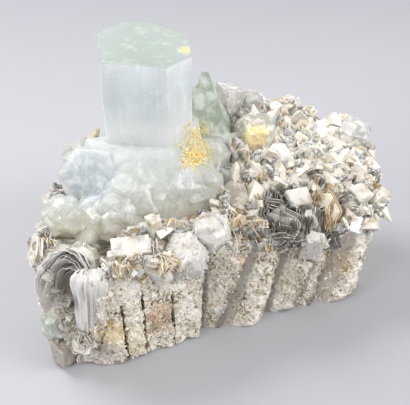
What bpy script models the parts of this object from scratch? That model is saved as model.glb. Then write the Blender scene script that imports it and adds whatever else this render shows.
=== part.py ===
"""Aquamarine specimen: a stout beryl prism with its side crystals, grown on a sawn slab
of granular feldspar that carries a crust of albite tablets and mica books.

Lengths in the tables are millimetres in the drawing frame: +X along the sawn front wall,
-Y towards the front, +Z up from the floor.  DRAWING_MIDDLE is the middle of the footprint,
and every point is moved by it, so that the part's origin is the middle of its foot.
"""

import math
import random

import bmesh
import bpy
from mathutils import Matrix, Vector, noise
from mathutils.bvhtree import BVHTree

MM = 0.001
OBJECT_NAME = "aquamarine_specimen"
DRAWING_MIDDLE = Vector((1.15, 3.8, 0.0))

# ---------------------------------------------------------------- driving dimensions
SEAT_GAP = 0.3            # clearance between two crystals that touch

PRISM_MIDDLE = (-18.0, 21.0)
PRISM_TOP = 110.0
PRISM_ROOT = 47.0
# side faces of the main prism: compass direction (degrees from +X) and distance
PRISM_SIDES = ((119, 23.9), (61, 23.1), (23, 18.7), (-17, 17.9), (-64, 20.9), (-122, 18.7), (168, 19.3))

COLUMNS_PER_STATION = 3   # wall columns between two stations of the rock's outline
WALL_LEVELS = (0.22, 0.48, 0.74, 1.0)
CAP_RINGS = (0.88, 0.66, 0.4)
CAP_MIDDLE = (-4.0, 6.0, 53.0)
WALL_ROUGHNESS = 1.3
BACK_ROUGHNESS = 6.0      # the back was broken off, not sawn
CAP_ROUGHNESS = 2.6
FOOT_INSET = 3.5
CHIP_HEIGHT = 3.4

FLAT_ANGLE = math.radians(0.3)   # faces closer than this to one plane become one
SHORT_EDGE = 1e-6

CRUST_SPACING = 7.8       # distance between the tablets of the crust
CRUST_SEED = 11
CRUST_JITTER = 2.4
CRUST_SPAN = ((-80, 88), (-46, 58))       # least and most x, least and most y
CRUST_LEAN = (0.1, 0.9)
CRUST_SPLAY = 0.35        # how far the crystals turn outwards
CRUST_ROOT = 3.0
WALL_STEEPNESS = 0.45     # nothing grows where the rock's normal rises less than this
MICA_SHARE = 0.3          # share of mica blades among the crust's crystals
# width, thickness and height over the rock, each from least to most
ALBITE_TABLET = ((5.5, 9.5), (2.6, 4.4), (3.0, 5.5))
MICA_BLADE = ((6.0, 9.0), (1.4, 2.0), (4.0, 6.5))

# rock outline, anticlockwise from the left front corner:
# foot x, foot y, rim x, rim y, rim height
ROCK_OUTLINE = (
    (-78, -27, -75, -22, 37),
    (-72, -33, -67, -30, 37),
    (-63, -38, -60, -36, 42),
    (-52, -41, -52, -42, 48),
    (-42, -40, -42, -42, 45),
    (-32, -39, -32, -41, 42),
    (-21, -39.5, -20, -41, 43),
    (-13, -40, -12, -40, 46),
    (-2, -41.5, 2, -41, 44),
    (8, -41, 14, -42, 41),
    (20, -40.5, 28, -42, 37),
    (34, -41, 43, -42, 35),
    (46, -42, 55, -41, 36),
    (58, -40, 64, -37, 39),
    (65, -26, 73, -23, 43),
    (70, -12, 79, -8, 47),
    (72, 2, 82, 6, 51),
    (66, 13, 76, 16, 53),
    (52, 22, 63, 25, 56),
    (34, 31, 49, 37, 59),
    (14, 38, 30, 45, 59),
    (-8, 43, 8, 52, 56),
    (-30, 42, -18, 52, 53),
    (-48, 33, -42, 43, 49),
    (-60, 18, -58, 26, 46),
    (-70, 2, -70, 6, 43),
    (-78, -13, -77, -11, 42),
)

# saw kerfs in the front wall: x at the foot, x at the top, y, top height
KERFS = ((-50.0, -51.5, -42.0, 32.0), (-42.2, -43.2, -42.0, 44.0), (-29.5, -30.5, -41.0, 34.0))
KERF_WIDTH = 1.3
KERF_DEPTH = 6.5
KERF_START = -4.0         # kerfs and steps start this far under the floor, so that they cut right through

STEP_TOP = 52.0
STEP_REACH = 60.0
# stepped facets that the saw left along the front wall: the inner corner's x, y at the foot and x, y at
# the top, then the compass heading of the facet and of the short side that it steps back by
STEPS = (
    (-16.0, -33.5, -14.0, -35.5, -22, 240),
    (-8.5, -35.0, 6.0, -35.5, -28, 250),
    (13.5, -34.5, 24.0, -35.5, -27, 222),
    (26.0, -36.5, 41.0, -36.5, -20, 240),
    (34.5, -37.0, 51.5, -35.5, -24, 245),
    (56.0, -37.0, 71.0, -30.0, -8, 250),
)


def drawn(x, y, z):
    """A point of the drawing, in metres about the part's origin."""
    return (Vector((x, y, z)) - DRAWING_MIDDLE) * MM


# ---------------------------------------------------------------- scene and materials
def clear_scene():
    for old in list(bpy.data.objects):
        bpy.data.objects.remove(old, do_unlink=True)


def new_collection(name):
    collection = bpy.data.collections.new(name)
    bpy.context.scene.collection.children.link(collection)
    return collection


def principled(name, colour, roughness, metallic=0.0):
    material = bpy.data.materials.new(name)
    material.use_nodes = True
    shader = material.node_tree.nodes["Principled BSDF"]
    shader.inputs["Base Color"].default_value = (*colour, 1.0)
    shader.inputs["Roughness"].default_value = roughness
    shader.inputs["Metallic"].default_value = metallic
    material.diffuse_color = (*colour, 1.0)
    return material


def add_object(name, bm, collection, material=None):
    mesh = bpy.data.meshes.new(name)
    bm.to_mesh(mesh)
    bm.free()
    obj = bpy.data.objects.new(name, mesh)
    collection.objects.link(obj)
    if material:
        mesh.materials.append(material)
    return obj


# ---------------------------------------------------------------- crystals by their faces
def cleaved(faces, reach):
    """A convex crystal: a block cut back to each face, given by its normal and distance."""
    bm = bmesh.new()
    bmesh.ops.create_cube(bm, size=2.0 * reach)
    for normal, distance in faces:
        normal = Vector(normal).normalized()
        cut = bmesh.ops.bisect_plane(
            bm,
            geom=bm.verts[:] + bm.edges[:] + bm.faces[:],
            plane_co=normal * distance,
            plane_no=normal,
            clear_outer=True,
        )
        rim = [part for part in cut["geom_cut"] if isinstance(part, bmesh.types.BMEdge)]
        if rim:
            bmesh.ops.contextual_create(bm, geom=rim)
    bmesh.ops.recalc_face_normals(bm, faces=bm.faces)
    return bm


def compass(degrees, rise=0.0):
    """Unit normal of a face that looks along a compass direction and rises by degrees."""
    turn = math.radians(degrees)
    lift = math.radians(rise)
    return Vector((math.cos(turn) * math.cos(lift), math.sin(turn) * math.cos(lift), math.sin(lift)))


def hexagonal(radius, up, down, rng, dome=()):
    """Faces of a six-sided crystal: uneven prism faces, a base at each end and, at the top,
    rows of sloping faces, each row given by its rise in degrees and how far it cuts in."""
    faces = [(Vector((0, 0, 1)), up), (Vector((0, 0, -1)), down)]
    for side in range(6):
        distance = radius * rng.uniform(0.88, 1.06)
        faces.append((compass(60 * side), distance))
        for rise, cut in dome:
            lift = math.radians(rise)
            corner = distance * math.cos(lift) + up * math.sin(lift)
            turn = 60 * side + rng.uniform(-9, 9)
            faces.append((compass(turn, rise), corner - cut * rng.uniform(0.7, 1.3)))
    return faces


def tablet(width, thickness, up, down, rng):
    """Faces of a feldspar tablet: two broad faces, oblique ends and a slanting top."""
    skew = rng.uniform(-16, 16)
    return [
        (compass(90), thickness / 2),
        (compass(-90), thickness / 2),
        (compass(0, skew), width / 2),
        (compass(180, -skew), width / 2),
        (compass(rng.choice((0, 180)), rng.uniform(60, 82)), up),
        (Vector((0, 0, -1)), down),
    ]


def block(width, depth, up, down, slant=(0.12, -0.1)):
    """Faces of a blocky crystal with a slightly slanting top."""
    return [
        (compass(0, 3), width / 2),
        (compass(180, -2), width / 2),
        (compass(90, 2), depth / 2),
        (compass(-90, -3), depth / 2),
        (Vector((slant[0], slant[1], 1.0)), up),
        (Vector((0, 0, -1)), down),
    ]


def frame_on(centre, axis, spin=0.0):
    """Matrix that stands a piece's own +Z along an axis at a drawn centre, its +X near the part's."""
    own_z = Vector(axis).normalized()
    own_y = own_z.cross(Vector((1, 0, 0.001))).normalized()
    own_x = own_y.cross(own_z)
    turn = Matrix((own_x, own_y, own_z)).transposed().to_4x4()
    return Matrix.Translation(drawn(*centre)) @ turn @ Matrix.Rotation(math.radians(spin), 4, "Z")


def grown_mesh(faces, centre, axis, spin, growth=0.0):
    """The crystal at its place, its faces moved out by a growth."""
    moved = [(normal, (distance + growth) * MM) for normal, distance in faces]
    longest = max(distance for _, distance in faces)
    bm = cleaved(moved, (3.0 * longest + growth) * MM)
    bm.transform(frame_on(centre, axis, spin))
    bmesh.ops.triangulate(bm, faces=bm.faces[:])
    return bm


class Crystal:
    """One convex crystal of the specimen: its faces and how it stands."""

    def __init__(self, faces, centre, axis=(0, 0, 1), spin=0.0):
        self.faces = faces
        self.centre = centre
        self.axis = axis
        self.spin = spin

    def solid(self, growth=0.0):
        return grown_mesh(self.faces, self.centre, self.axis, self.spin, growth)


# ---------------------------------------------------------------- solids joined and cut
def evaluated_copy(obj):
    graph = bpy.context.evaluated_depsgraph_get()
    return bpy.data.meshes.new_from_object(obj.evaluated_get(graph))


def settle(obj):
    """Apply the object's modifiers and keep its one large solid."""
    mesh = evaluated_copy(obj)
    obj.modifiers.clear()
    bm = bmesh.new()
    bm.from_mesh(mesh)
    bmesh.ops.dissolve_degenerate(bm, dist=SHORT_EDGE, edges=bm.edges[:])
    islands = []
    left = set(bm.faces)
    while left:
        island = set()
        queue = [left.pop()]
        while queue:
            face = queue.pop()
            island.add(face)
            for edge in face.edges:
                for other in edge.link_faces:
                    if other in left:
                        left.remove(other)
                        queue.append(other)
        islands.append(island)
    islands.sort(key=lambda island: sum(face.calc_area() for face in island))
    for island in islands[:-1]:
        bmesh.ops.delete(bm, geom=list(island), context="FACES")
    bmesh.ops.dissolve_limit(bm, angle_limit=FLAT_ANGLE, verts=bm.verts[:], edges=bm.edges[:])
    bmesh.ops.triangulate(bm, faces=bm.faces[:])
    bm.to_mesh(obj.data)
    bm.free()
    bpy.data.meshes.remove(mesh)


def boolean(obj, operation, other):
    """Join or cut by another solid.  The exact solver leaves open edges where crystals meet."""
    modifier = obj.modifiers.new(operation.lower(), "BOOLEAN")
    modifier.operation = operation
    modifier.solver = "MANIFOLD"
    modifier.object = other


def boxes_meet(first, second):
    """Whether the boxes around two objects' meshes overlap."""
    for axis in range(3):
        first_span = [vertex.co[axis] for vertex in first.data.vertices]
        second_span = [vertex.co[axis] for vertex in second.data.vertices]
        if max(first_span) < min(second_span) or max(second_span) < min(first_span):
            return False
    return True


class Specimen:
    """Crystals in the order they claim their room, each cut clear of those before it."""

    def __init__(self):
        self.parts = new_collection(OBJECT_NAME)
        self.cutters = new_collection(OBJECT_NAME + "_cutters")
        self.cutters.hide_render = True
        self.claimed = []

    def add_cutter(self, name, bm):
        cutter = add_object(name, bm, self.cutters)
        cutter.display_type = "WIRE"
        cutter.hide_render = True
        return cutter

    def cut_clear(self, obj):
        for room in self.claimed:
            if boxes_meet(obj, room):
                boolean(obj, "DIFFERENCE", room)
                settle(obj)

    def add(self, name, crystals, material):
        """One solid of crystals grown together, cut clear of the pieces already there."""
        obj = add_object(name, crystals[0].solid(), self.parts, material)
        for index, crystal in enumerate(crystals[1:]):
            neighbour = self.add_cutter(f"{name}_grown_{index}", crystal.solid())
            boolean(obj, "UNION", neighbour)
        settle(obj)
        self.cut_clear(obj)
        for index, crystal in enumerate(crystals):
            self.claimed.append(self.add_cutter(f"{name}_room_{index}", crystal.solid(SEAT_GAP)))


# ---------------------------------------------------------------- aquamarine
def main_prism():
    middle_height = (PRISM_TOP + PRISM_ROOT) / 2
    half_height = (PRISM_TOP - PRISM_ROOT) / 2
    faces = [(compass(direction), distance) for direction, distance in PRISM_SIDES]
    faces.append((Vector((0, 0, 1)), half_height))
    faces.append((Vector((0, 0, -1)), half_height))
    return Crystal(faces, (*PRISM_MIDDLE, middle_height))


def side_crystal():
    """The stubby bluish crystal whose flat end looks out to the left."""
    rng = random.Random(5)
    return Crystal(hexagonal(11.8, 0.0, 27.0, rng), (-50.0, 4.5, 62.5), (-0.513, -0.736, 0.442), 12)


# pale crystals at the prism's foot: centre, axis, spin, radius, height above the centre
FOOT_CRYSTALS = (
    ((-32, -5, 54), (-0.15, -0.30, 1.0), 15, 13.0, 12.0),
    ((-9, -4, 54), (0.15, -0.30, 1.0), 40, 13.0, 11.5),
    ((-50, -6, 50), (-0.20, -0.30, 1.0), 20, 10.5, 7.0),
    ((-62, -1, 49), (-0.45, -0.25, 1.0), 5, 8.5, 8.0),
    ((-42, 22, 52), (-0.10, 0.10, 1.0), 30, 12.0, 13.0),
    ((3, 11, 55), (0.25, 0.05, 1.0), 10, 10.5, 10.0),
    ((-17, 36, 54), (0.05, 0.10, 1.0), 25, 11.5, 10.0),
    ((-19, 13, 58), (0.0, -0.1, 1.0), 33, 22.0, 15.0),
    ((-41, -9, 52), (-0.2, -0.45, 1.0), 25, 9.0, 9.5),
)
# the smooth shoulder that joins the foot's crystals below the prism: normal, distance of each face
SHOULDER_CENTRE = (-20, 0, 54)
SHOULDER_FACES = (
    ((-0.08, -0.62, 0.78), 14.2),
    ((0.14, -0.70, 0.70), 15.0),
    ((0, 0, 1), 19.5),
    ((-0.52, -0.48, 0.70), 17.0),
    ((0.55, -0.40, 0.73), 18.0),
    ((0.05, -0.95, 0.30), 15.6),
    ((-0.90, -0.40, 0.20), 20.0),
    ((0.95, -0.25, 0.20), 20.0),
    ((-0.35, -0.88, 0.32), 17.0),
    ((0, 1, 0), 18.0),
    ((0, 0, -1), 6.0),
)


def foot_crystals():
    rng = random.Random(23)
    crystals = []
    for centre, axis, spin, radius, up in FOOT_CRYSTALS:
        faces = hexagonal(radius, up, 9.0, rng, dome=((48, 0.32 * radius),))
        crystals.append(Crystal(faces, centre, axis, spin))
    shoulder = [(Vector(normal).normalized(), distance) for normal, distance in SHOULDER_FACES]
    crystals.append(Crystal(shoulder, SHOULDER_CENTRE))
    return crystals


def wedge():
    """The green wedge beside the prism: its faces about a centre near its foot."""
    faces = [
        ((0.87, -0.34, 0.36), 9.6),
        ((-0.10, -0.87, 0.49), 11.2),
        ((-0.97, -0.20, 0.10), 13.0),
        ((0.10, 0.97, 0.20), 9.0),
        ((-0.05, 0.0, 1.0), 29.5),
        ((-0.88, 0.0, 0.47), 15.6),
        ((0, 0, -1), 13.0),
    ]
    return Crystal([(Vector(normal).normalized(), distance) for normal, distance in faces], (12, 26, 60))


# ---------------------------------------------------------------- the other single crystals
# name: kind, centre, axis, spin, size (radius or width), thickness or depth, up, down
SINGLE_CRYSTALS = {
    "clear_crystal_back": ("block", (26, 37, 63), (0.12, 0.05, 1.0), 12, 10.5, 10.0, 12.0, 12.0),
    "grey_crystal_back": ("lump", (36.5, 35, 61), (0.15, 0.10, 1.0), 20, 5.6, 0, 10.0, 8.0),
    "iron_stained_crystal": ("lump", (31.5, 17, 59), (0.10, -0.25, 1.0), 10, 10.0, 0, 7.5, 8.0),
    "clear_crystal_right": ("lump", (75, 6, 52), (0.20, -0.10, 1.0), 15, 7.2, 0, 11.0, 8.0),
    "white_feldspar_lump": ("lump", (-23, -36, 45), (-0.10, -0.55, 1.0), 20, 8.5, 0, 6.0, 8.0),
    "white_feldspar_shoulder": ("lump", (-10, -31, 50), (0.10, -0.45, 1.0), 45, 7.5, 0, 6.0, 8.0),
    "white_feldspar_block": ("block", (-43, -31, 50), (-0.15, -0.25, 1.0), -10, 15.0, 8.0, 4.0, 7.0),
    "white_feldspar_chip": ("block", (-37, -40, 44), (0.10, -0.50, 1.0), -35, 9.0, 6.0, 4.0, 6.0),
    "white_albite_prism": ("block", (-33, -26, 53), (0.05, -0.10, 1.0), 25, 5.0, 4.5, 7.0, 8.0),
    "pale_albite_block": ("block", (61, -27, 44), (0.05, -0.20, 1.0), 15, 9.0, 8.0, 6.0, 9.0),
    "albite_block_front": ("block", (32, -40, 37), (0.10, -0.25, 1.0), -20, 9.0, 5.0, 6.0, 8.0),
    "albite_block_middle": ("block", (33, -23, 48), (0.1, -0.4, 1.0), 5, 11.0, 8.0, 4.0, 8.0),
    "hexagonal_mica_plate": ("book", (6, -16, 52), (-0.15, -0.75, 0.65), 0, 6.6, 2.2, 0, 0),
    "dark_mica_book": ("book", (21, -34, 45), (-0.80, -0.55, 0.15), 10, 8.6, 4.5, 0, 0),
    "silver_mica_book": ("book", (33, -35, 43), (0.45, -0.80, 0.35), 20, 8.0, 4.5, 0, 0),
    "brown_mica_book": ("book", (42, -30, 45), (-0.85, -0.20, 0.30), 5, 8.4, 4.0, 0, 0),
    "right_mica_book": ("book", (73, -19, 44), (0.70, -0.45, 0.55), 15, 5.6, 3.0, 0, 0),
    "bright_mica_plate": ("book", (36, 3, 56), (-0.20, -0.55, 0.80), 12, 4.8, 2.0, 0, 0),
    "back_mica_plate": ("book", (64, 13, 57), (-0.30, -0.45, 0.85), 30, 5.0, 2.0, 0, 0),
    "edge_mica_plate": ("book", (75, -13, 48), (-0.10, -0.60, 0.80), 20, 4.4, 1.8, 0, 0),
    "corner_mica_plate": ("book", (54, -37, 40), (0.10, -0.65, 0.75), 0, 4.2, 2.0, 0, 0),
    "left_mica_blade": ("book", (-77, -8, 43), (-0.93, 0.05, 0.35), 12, 6.4, 2.4, 0, 0),
    "hidden_mica_blade": ("book", (-43, 27, 67), (-0.72, 0.30, 0.62), 25, 5.4, 1.6, 0, 0),
    "grey_mica_block": ("block", (-73, -30.5, 6), (0.05, 0.0, 1.0), 25, 11.0, 8.0, 4.0, 4.5),
    "mica_rosette": ("book", (-69, -36.5, 15), (-0.50, -0.80, 0.35), 10, 5.6, 4.0, 0, 0),
    "green_side_beryl": ("lump", (-77.6, -22, 13), (-0.90, -0.30, 0.10), 15, 7.5, 0, 3.0, 6.0),
}
DOME_ROWS = ((38, 2.2), (66, 1.2))


def single_crystal(kind, centre, axis, spin, size, depth, up, down, rng):
    if kind == "block":
        faces = block(size, depth, up, down)
    elif kind == "lump":
        faces = hexagonal(size, up, down, rng, DOME_ROWS)
    else:
        faces = hexagonal(size, depth / 2, depth / 2, rng)
    return Crystal(faces, centre, axis, spin)


# ---------------------------------------------------------------- mica sheaf
SHEAF_MOUTH = Vector((-71.0, -34.0, 38.0))
SHEAF_AXIS = Vector((-0.66, -0.74, 0.10)).normalized()
SHEAF_LENGTH = 17.0
SHEAF_TALL = 1.4          # how much taller than wide the fold is
SHEAF_RAKE = 0.25         # how far the top of the fold leans back, as a share of its length
SHEAF_MIDDLE = (-64, -24)
SHEAF_ROOM = 17.0         # the crust stays this far from the sheaf's middle
HOLLOW_DEPTH = 30.0
HOLLOW_RADII = (6.0, 13.5)
SHEAF_ROOT = (9.5, 3.0, 6.0)      # radius, height and depth of the mica that the sheets spring from
# the upright fold beside the mouth: its centre, axis, then radius, height and depth about the centre
SHEAF_LOBE = ((-61.4, -34.8, 30.0), (0.03, -0.16, 1.0), 5.6, 23.0, 21.0)
LOBE_DOME = ((40, 1.6), (66, 1.0))
# folded sheets, from the outer one in: radius at the root, radius at the mouth, arc in degrees
SHEAF_FOLDS = ((8.5, 12.5, -5, 200), (6.5, 9.5, 10, 185), (4.5, 6.5, 30, 195))
SHEET_THICKNESS = 2.0
ARC_STEPS = 8
LENGTH_STEPS = 2


def folded_sheet(root_radius, mouth_radius, first, last, growth):
    """An open sheet of mica bent round the sheaf's axis, before it gets its thickness."""
    bm = bmesh.new()
    rows = []
    for along in range(LENGTH_STEPS + 1):
        share = along / LENGTH_STEPS
        radius = root_radius + (mouth_radius - root_radius) * share**1.4
        reach = SHEAF_LENGTH * share + (growth if along == LENGTH_STEPS else 0)
        spare = math.degrees(growth / radius)
        row = []
        for step in range(ARC_STEPS + 1):
            angle = math.radians(first - spare + (last - first + 2 * spare) * step / ARC_STEPS)
            ripple = 1.0 + 0.07 * math.sin(4.0 * angle + root_radius)
            rise = math.sin(angle)
            drawn_back = 1.0 - SHEAF_RAKE * max(0.0, rise)
            across = radius * ripple
            point = Vector((across * math.cos(angle), SHEAF_TALL * across * rise, reach * drawn_back))
            row.append(bm.verts.new(point * MM))
        rows.append(row)
    for near, far in zip(rows, rows[1:]):
        for step in range(ARC_STEPS):
            bm.faces.new((near[step], near[step + 1], far[step + 1], far[step]))
    bm.transform(frame_on(SHEAF_MOUTH - SHEAF_AXIS * SHEAF_LENGTH, SHEAF_AXIS))
    return bm


def sheaf_pieces(specimen, growth):
    """The sheaf's folded sheets and the root they spring from, as solids that overlap."""
    pieces = []
    for index, fold in enumerate(SHEAF_FOLDS):
        sheet = specimen.add_cutter(f"sheaf_fold_{index}_{growth}", folded_sheet(*fold, growth))
        thick = sheet.modifiers.new("thickness", "SOLIDIFY")
        thick.thickness = (SHEET_THICKNESS + 2 * growth) * MM
        thick.offset = 0.0
        settle(sheet)
        pieces.append(sheet)
    rng = random.Random(3)
    root = Crystal(hexagonal(*SHEAF_ROOT, rng), SHEAF_MOUTH - SHEAF_AXIS * SHEAF_LENGTH, SHEAF_AXIS)
    centre, axis, radius, up, down = SHEAF_LOBE
    lobe = Crystal(hexagonal(radius, up, down, rng, LOBE_DOME), centre, axis, 30)
    pieces.append(specimen.add_cutter(f"sheaf_root_{growth}", root.solid(growth)))
    pieces.append(specimen.add_cutter(f"sheaf_lobe_{growth}", lobe.solid(growth)))
    return pieces


def add_sheaf(specimen, material):
    folds = sheaf_pieces(specimen, 0.0)
    sheaf = add_object("mica_sheaf", bmesh.new(), specimen.parts, material)
    sheaf.data = folds[-1].data.copy()
    sheaf.data.materials.append(material)
    for fold in folds[:-1]:
        boolean(sheaf, "UNION", fold)
    settle(sheaf)
    specimen.cut_clear(sheaf)
    specimen.claimed.extend(sheaf_pieces(specimen, SEAT_GAP))


def sheaf_hollow():
    """The open room inside the sheaf, from its root out past its mouth."""
    bm = bmesh.new()
    narrow, wide = (radius * MM for radius in HOLLOW_RADII)
    bmesh.ops.create_cone(
        bm, cap_ends=True, segments=12, radius1=narrow, radius2=wide, depth=HOLLOW_DEPTH * MM
    )
    bmesh.ops.scale(bm, vec=Vector((1.0, SHEAF_TALL, 1.0)), verts=bm.verts)
    bm.transform(frame_on(SHEAF_MOUTH, SHEAF_AXIS))
    return bm


# ---------------------------------------------------------------- rock
def through(before, start, end, after, part):
    """Smooth value between start and end (Catmull-Rom)."""
    return 0.5 * (
        2 * start
        + (end - before) * part
        + (2 * before - 5 * start + 4 * end - after) * part**2
        + (3 * start - before - 3 * end + after) * part**3
    )


def outline_columns():
    """The rock's foot and rim, column by column around it."""
    count = len(ROCK_OUTLINE)
    columns = []
    for station in range(count):
        around = [ROCK_OUTLINE[(station + step) % count] for step in (-1, 0, 1, 2)]
        for step in range(COLUMNS_PER_STATION):
            part = step / COLUMNS_PER_STATION
            columns.append([through(*values, part) for values in zip(*around)])
    return columns


def rough(point, scale, seed):
    """Noise in -1..1 that varies over a scale in millimetres."""
    return noise.noise(point / scale + Vector((seed, 3.7 * seed, -seed)))


def wall_point(foot_x, foot_y, rim_x, rim_y, rim_z, level):
    point = Vector((foot_x + (rim_x - foot_x) * level, foot_y + (rim_y - foot_y) * level, rim_z * level))
    outward = Vector((point.x - CAP_MIDDLE[0], 2.0 * (point.y - CAP_MIDDLE[1]), 0)).normalized()
    sawn = WALL_ROUGHNESS * (rough(point, 7.0, 1.0) + 0.5 * rough(point, 3.1, 2.0))
    back = min(1.0, max(0.0, (point.y + 15.0) / 30.0))
    ledges = BACK_ROUGHNESS * back * rough(point, 15.0, 9.0)
    return point + outward * (sawn + ledges)


def rock_rings():
    """Rings of points from the flat foot, up the wall and in over the mound."""
    columns = outline_columns()
    middle = Vector(CAP_MIDDLE)
    rings = [[], []]
    for column in columns:
        edge = wall_point(*column, 0.0)
        inward = Vector((middle.x - edge.x, 2.0 * (middle.y - edge.y), 0)).normalized()
        rings[0].append(edge + inward * FOOT_INSET)
        chip = CHIP_HEIGHT * max(0.12, 0.25 + 1.5 * rough(edge, 13.0, 5.0))
        rings[1].append(edge + Vector((0, 0, chip)))
    for level in WALL_LEVELS:
        rings.append([wall_point(*column, level) for column in columns])
    rim = rings[-1]
    for share in CAP_RINGS:
        ring = []
        for point in rim:
            inner = middle.lerp(point, share)
            inner.z += CAP_ROUGHNESS * rough(inner, 11.0, 8.0)
            ring.append(inner)
        rings.append(ring)
    return rings


def rock_body():
    bm = bmesh.new()
    rings = [[bm.verts.new(drawn(*point)) for point in ring] for ring in rock_rings()]
    count = len(rings[0])
    for lower, upper in zip(rings, rings[1:]):
        for index in range(count):
            after = (index + 1) % count
            bm.faces.new((lower[index], lower[after], upper[after], upper[index]))
    bm.faces.new(rings[0][::-1])
    top = bm.verts.new(drawn(*CAP_MIDDLE))
    for index in range(count):
        bm.faces.new((rings[-1][index], rings[-1][(index + 1) % count], top))
    bmesh.ops.triangulate(bm, faces=[face for face in bm.faces if len(face.verts) == 4])
    bmesh.ops.recalc_face_normals(bm, faces=bm.faces)
    return bm


def crust_crystals(rock, cluster):
    """Tablets of albite and books of mica that stand all over the mound."""
    rng = random.Random(CRUST_SEED)
    ground = BVHTree.FromObject(rock, bpy.context.evaluated_depsgraph_get())
    beryl = BVHTree.FromObject(cluster, bpy.context.evaluated_depsgraph_get())
    down = Vector((0, 0, -1))
    tablets = []
    x_steps, y_steps = (
        range(int(least / CRUST_SPACING), int(most / CRUST_SPACING) + 1) for least, most in CRUST_SPAN
    )
    for row in y_steps:
        for column in x_steps:
            x = (column + 0.5 * (row % 2)) * CRUST_SPACING + rng.uniform(-CRUST_JITTER, CRUST_JITTER)
            y = row * CRUST_SPACING + rng.uniform(-CRUST_JITTER, CRUST_JITTER)
            above = drawn(x, y, PRISM_TOP + CRUST_SPACING)
            spot, normal, _, _ = ground.ray_cast(above, down)
            hidden, _, _, _ = beryl.ray_cast(above, down)
            near_sheaf = (Vector((x, y, 0)) - Vector((*SHEAF_MIDDLE, 0))).length < SHEAF_ROOM
            if spot is None or hidden is not None or near_sheaf or normal.z < WALL_STEEPNESS:
                continue
            lean = rng.uniform(*CRUST_LEAN)
            heading = rng.uniform(0, math.tau)
            outward = Vector((x, y, 0)).normalized() * CRUST_SPLAY
            axis = Vector((lean * math.cos(heading), lean * math.sin(heading), 1.0)) + outward
            centre = spot / MM + DRAWING_MIDDLE
            width, thickness, up = MICA_BLADE if rng.random() < MICA_SHARE else ALBITE_TABLET
            faces = tablet(rng.uniform(*width), rng.uniform(*thickness), rng.uniform(*up), CRUST_ROOT, rng)
            tablets.append(Crystal(faces, centre, axis, rng.uniform(0, 360)))
    return tablets


def slab(foot, top, width, depth):
    """A saw blade's room: a thin leaning box between two drawn points of the wall."""
    foot = Vector(foot)
    top = Vector(top)
    bm = bmesh.new()
    bmesh.ops.create_cube(bm, size=1.0)
    length = (top - foot).length
    bmesh.ops.scale(bm, vec=Vector((width, 2 * depth, length)) * MM, verts=bm.verts)
    bm.transform(frame_on((foot + top) / 2, top - foot))
    return bm


def step_room(foot, top, facet, side):
    """The room before a stepped facet: its two walls meet in a line from foot to top."""
    foot = Vector(foot)
    top = Vector(top)
    upright = Vector((0, 0, 1))
    height = (top - foot).length * MM
    faces = [(compass(facet + 90), 0.0), (compass(side - 90), 0.0), (upright, height), (-upright, 0.0)]
    bm = cleaved(faces, STEP_REACH * MM)
    bm.transform(frame_on(foot, top - foot))
    return bm


def add_rock(specimen, material):
    rock = add_object("matrix", rock_body(), specimen.parts, material)
    cluster = specimen.parts.objects["aquamarine_cluster"]
    for index, (foot_x, top_x, y, top) in enumerate(KERFS):
        blade = slab((foot_x, y, KERF_START), (top_x, y, top), KERF_WIDTH, KERF_DEPTH)
        boolean(rock, "DIFFERENCE", specimen.add_cutter(f"kerf_{index}", blade))
    for index, (foot_x, foot_y, top_x, top_y, facet, side) in enumerate(STEPS):
        room = step_room((foot_x, foot_y, KERF_START), (top_x, top_y, STEP_TOP), facet, side)
        boolean(rock, "DIFFERENCE", specimen.add_cutter(f"step_{index}", room))
    boolean(rock, "DIFFERENCE", specimen.add_cutter("sheaf_hollow", sheaf_hollow()))
    settle(rock)
    for index, crystal in enumerate(crust_crystals(rock, cluster)):
        boolean(rock, "UNION", specimen.add_cutter(f"crust_{index}", crystal.solid()))
    settle(rock)
    for room in specimen.claimed:
        boolean(rock, "DIFFERENCE", room)
    settle(rock)
    return rock


FINISHES = {
    "aquamarine": ((0.74, 0.86, 0.87), 0.12),
    "green_beryl": ((0.62, 0.72, 0.60), 0.15),
    "clear_crystal": ((0.80, 0.82, 0.80), 0.12),
    "white_feldspar": ((0.84, 0.83, 0.82), 0.45),
    "mica": ((0.50, 0.46, 0.40), 0.22),
    "granular_feldspar": ((0.62, 0.58, 0.52), 0.85),
}


def finish_of(name):
    if "mica" in name:
        return "mica"
    if "feldspar" in name or "albite" in name:
        return "white_feldspar"
    return "green_beryl" if "green" in name else "clear_crystal"


def build():
    clear_scene()
    specimen = Specimen()
    finishes = {name: principled(name, *values) for name, values in FINISHES.items()}
    cluster = [main_prism(), side_crystal(), *foot_crystals()]
    specimen.add("aquamarine_cluster", cluster, finishes["aquamarine"])
    specimen.add("green_beryl_wedge", [wedge()], finishes["green_beryl"])
    add_sheaf(specimen, finishes["mica"])
    rng = random.Random(31)
    for name, row in SINGLE_CRYSTALS.items():
        specimen.add(name, [single_crystal(*row, rng)], finishes[finish_of(name)])
    add_rock(specimen, finishes["granular_feldspar"])
    return specimen


if __name__ == "__main__":
    build()
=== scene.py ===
"""Finished look of the aquamarine specimen: clear beryl on a milky foot, a sugary rock slab
with a crust of albite and mica, and the sheaf of bent mica at its left corner.

Lengths in the tables are millimetres in the drawing frame, whose middle is DRAWING_MIDDLE:
+X runs along the sawn front wall, -Y looks to the front and +Z rises from the floor.
"""

import math
import random
import bmesh
import bpy
from mathutils import Matrix, Vector, noise
from mathutils.bvhtree import BVHTree


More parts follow.
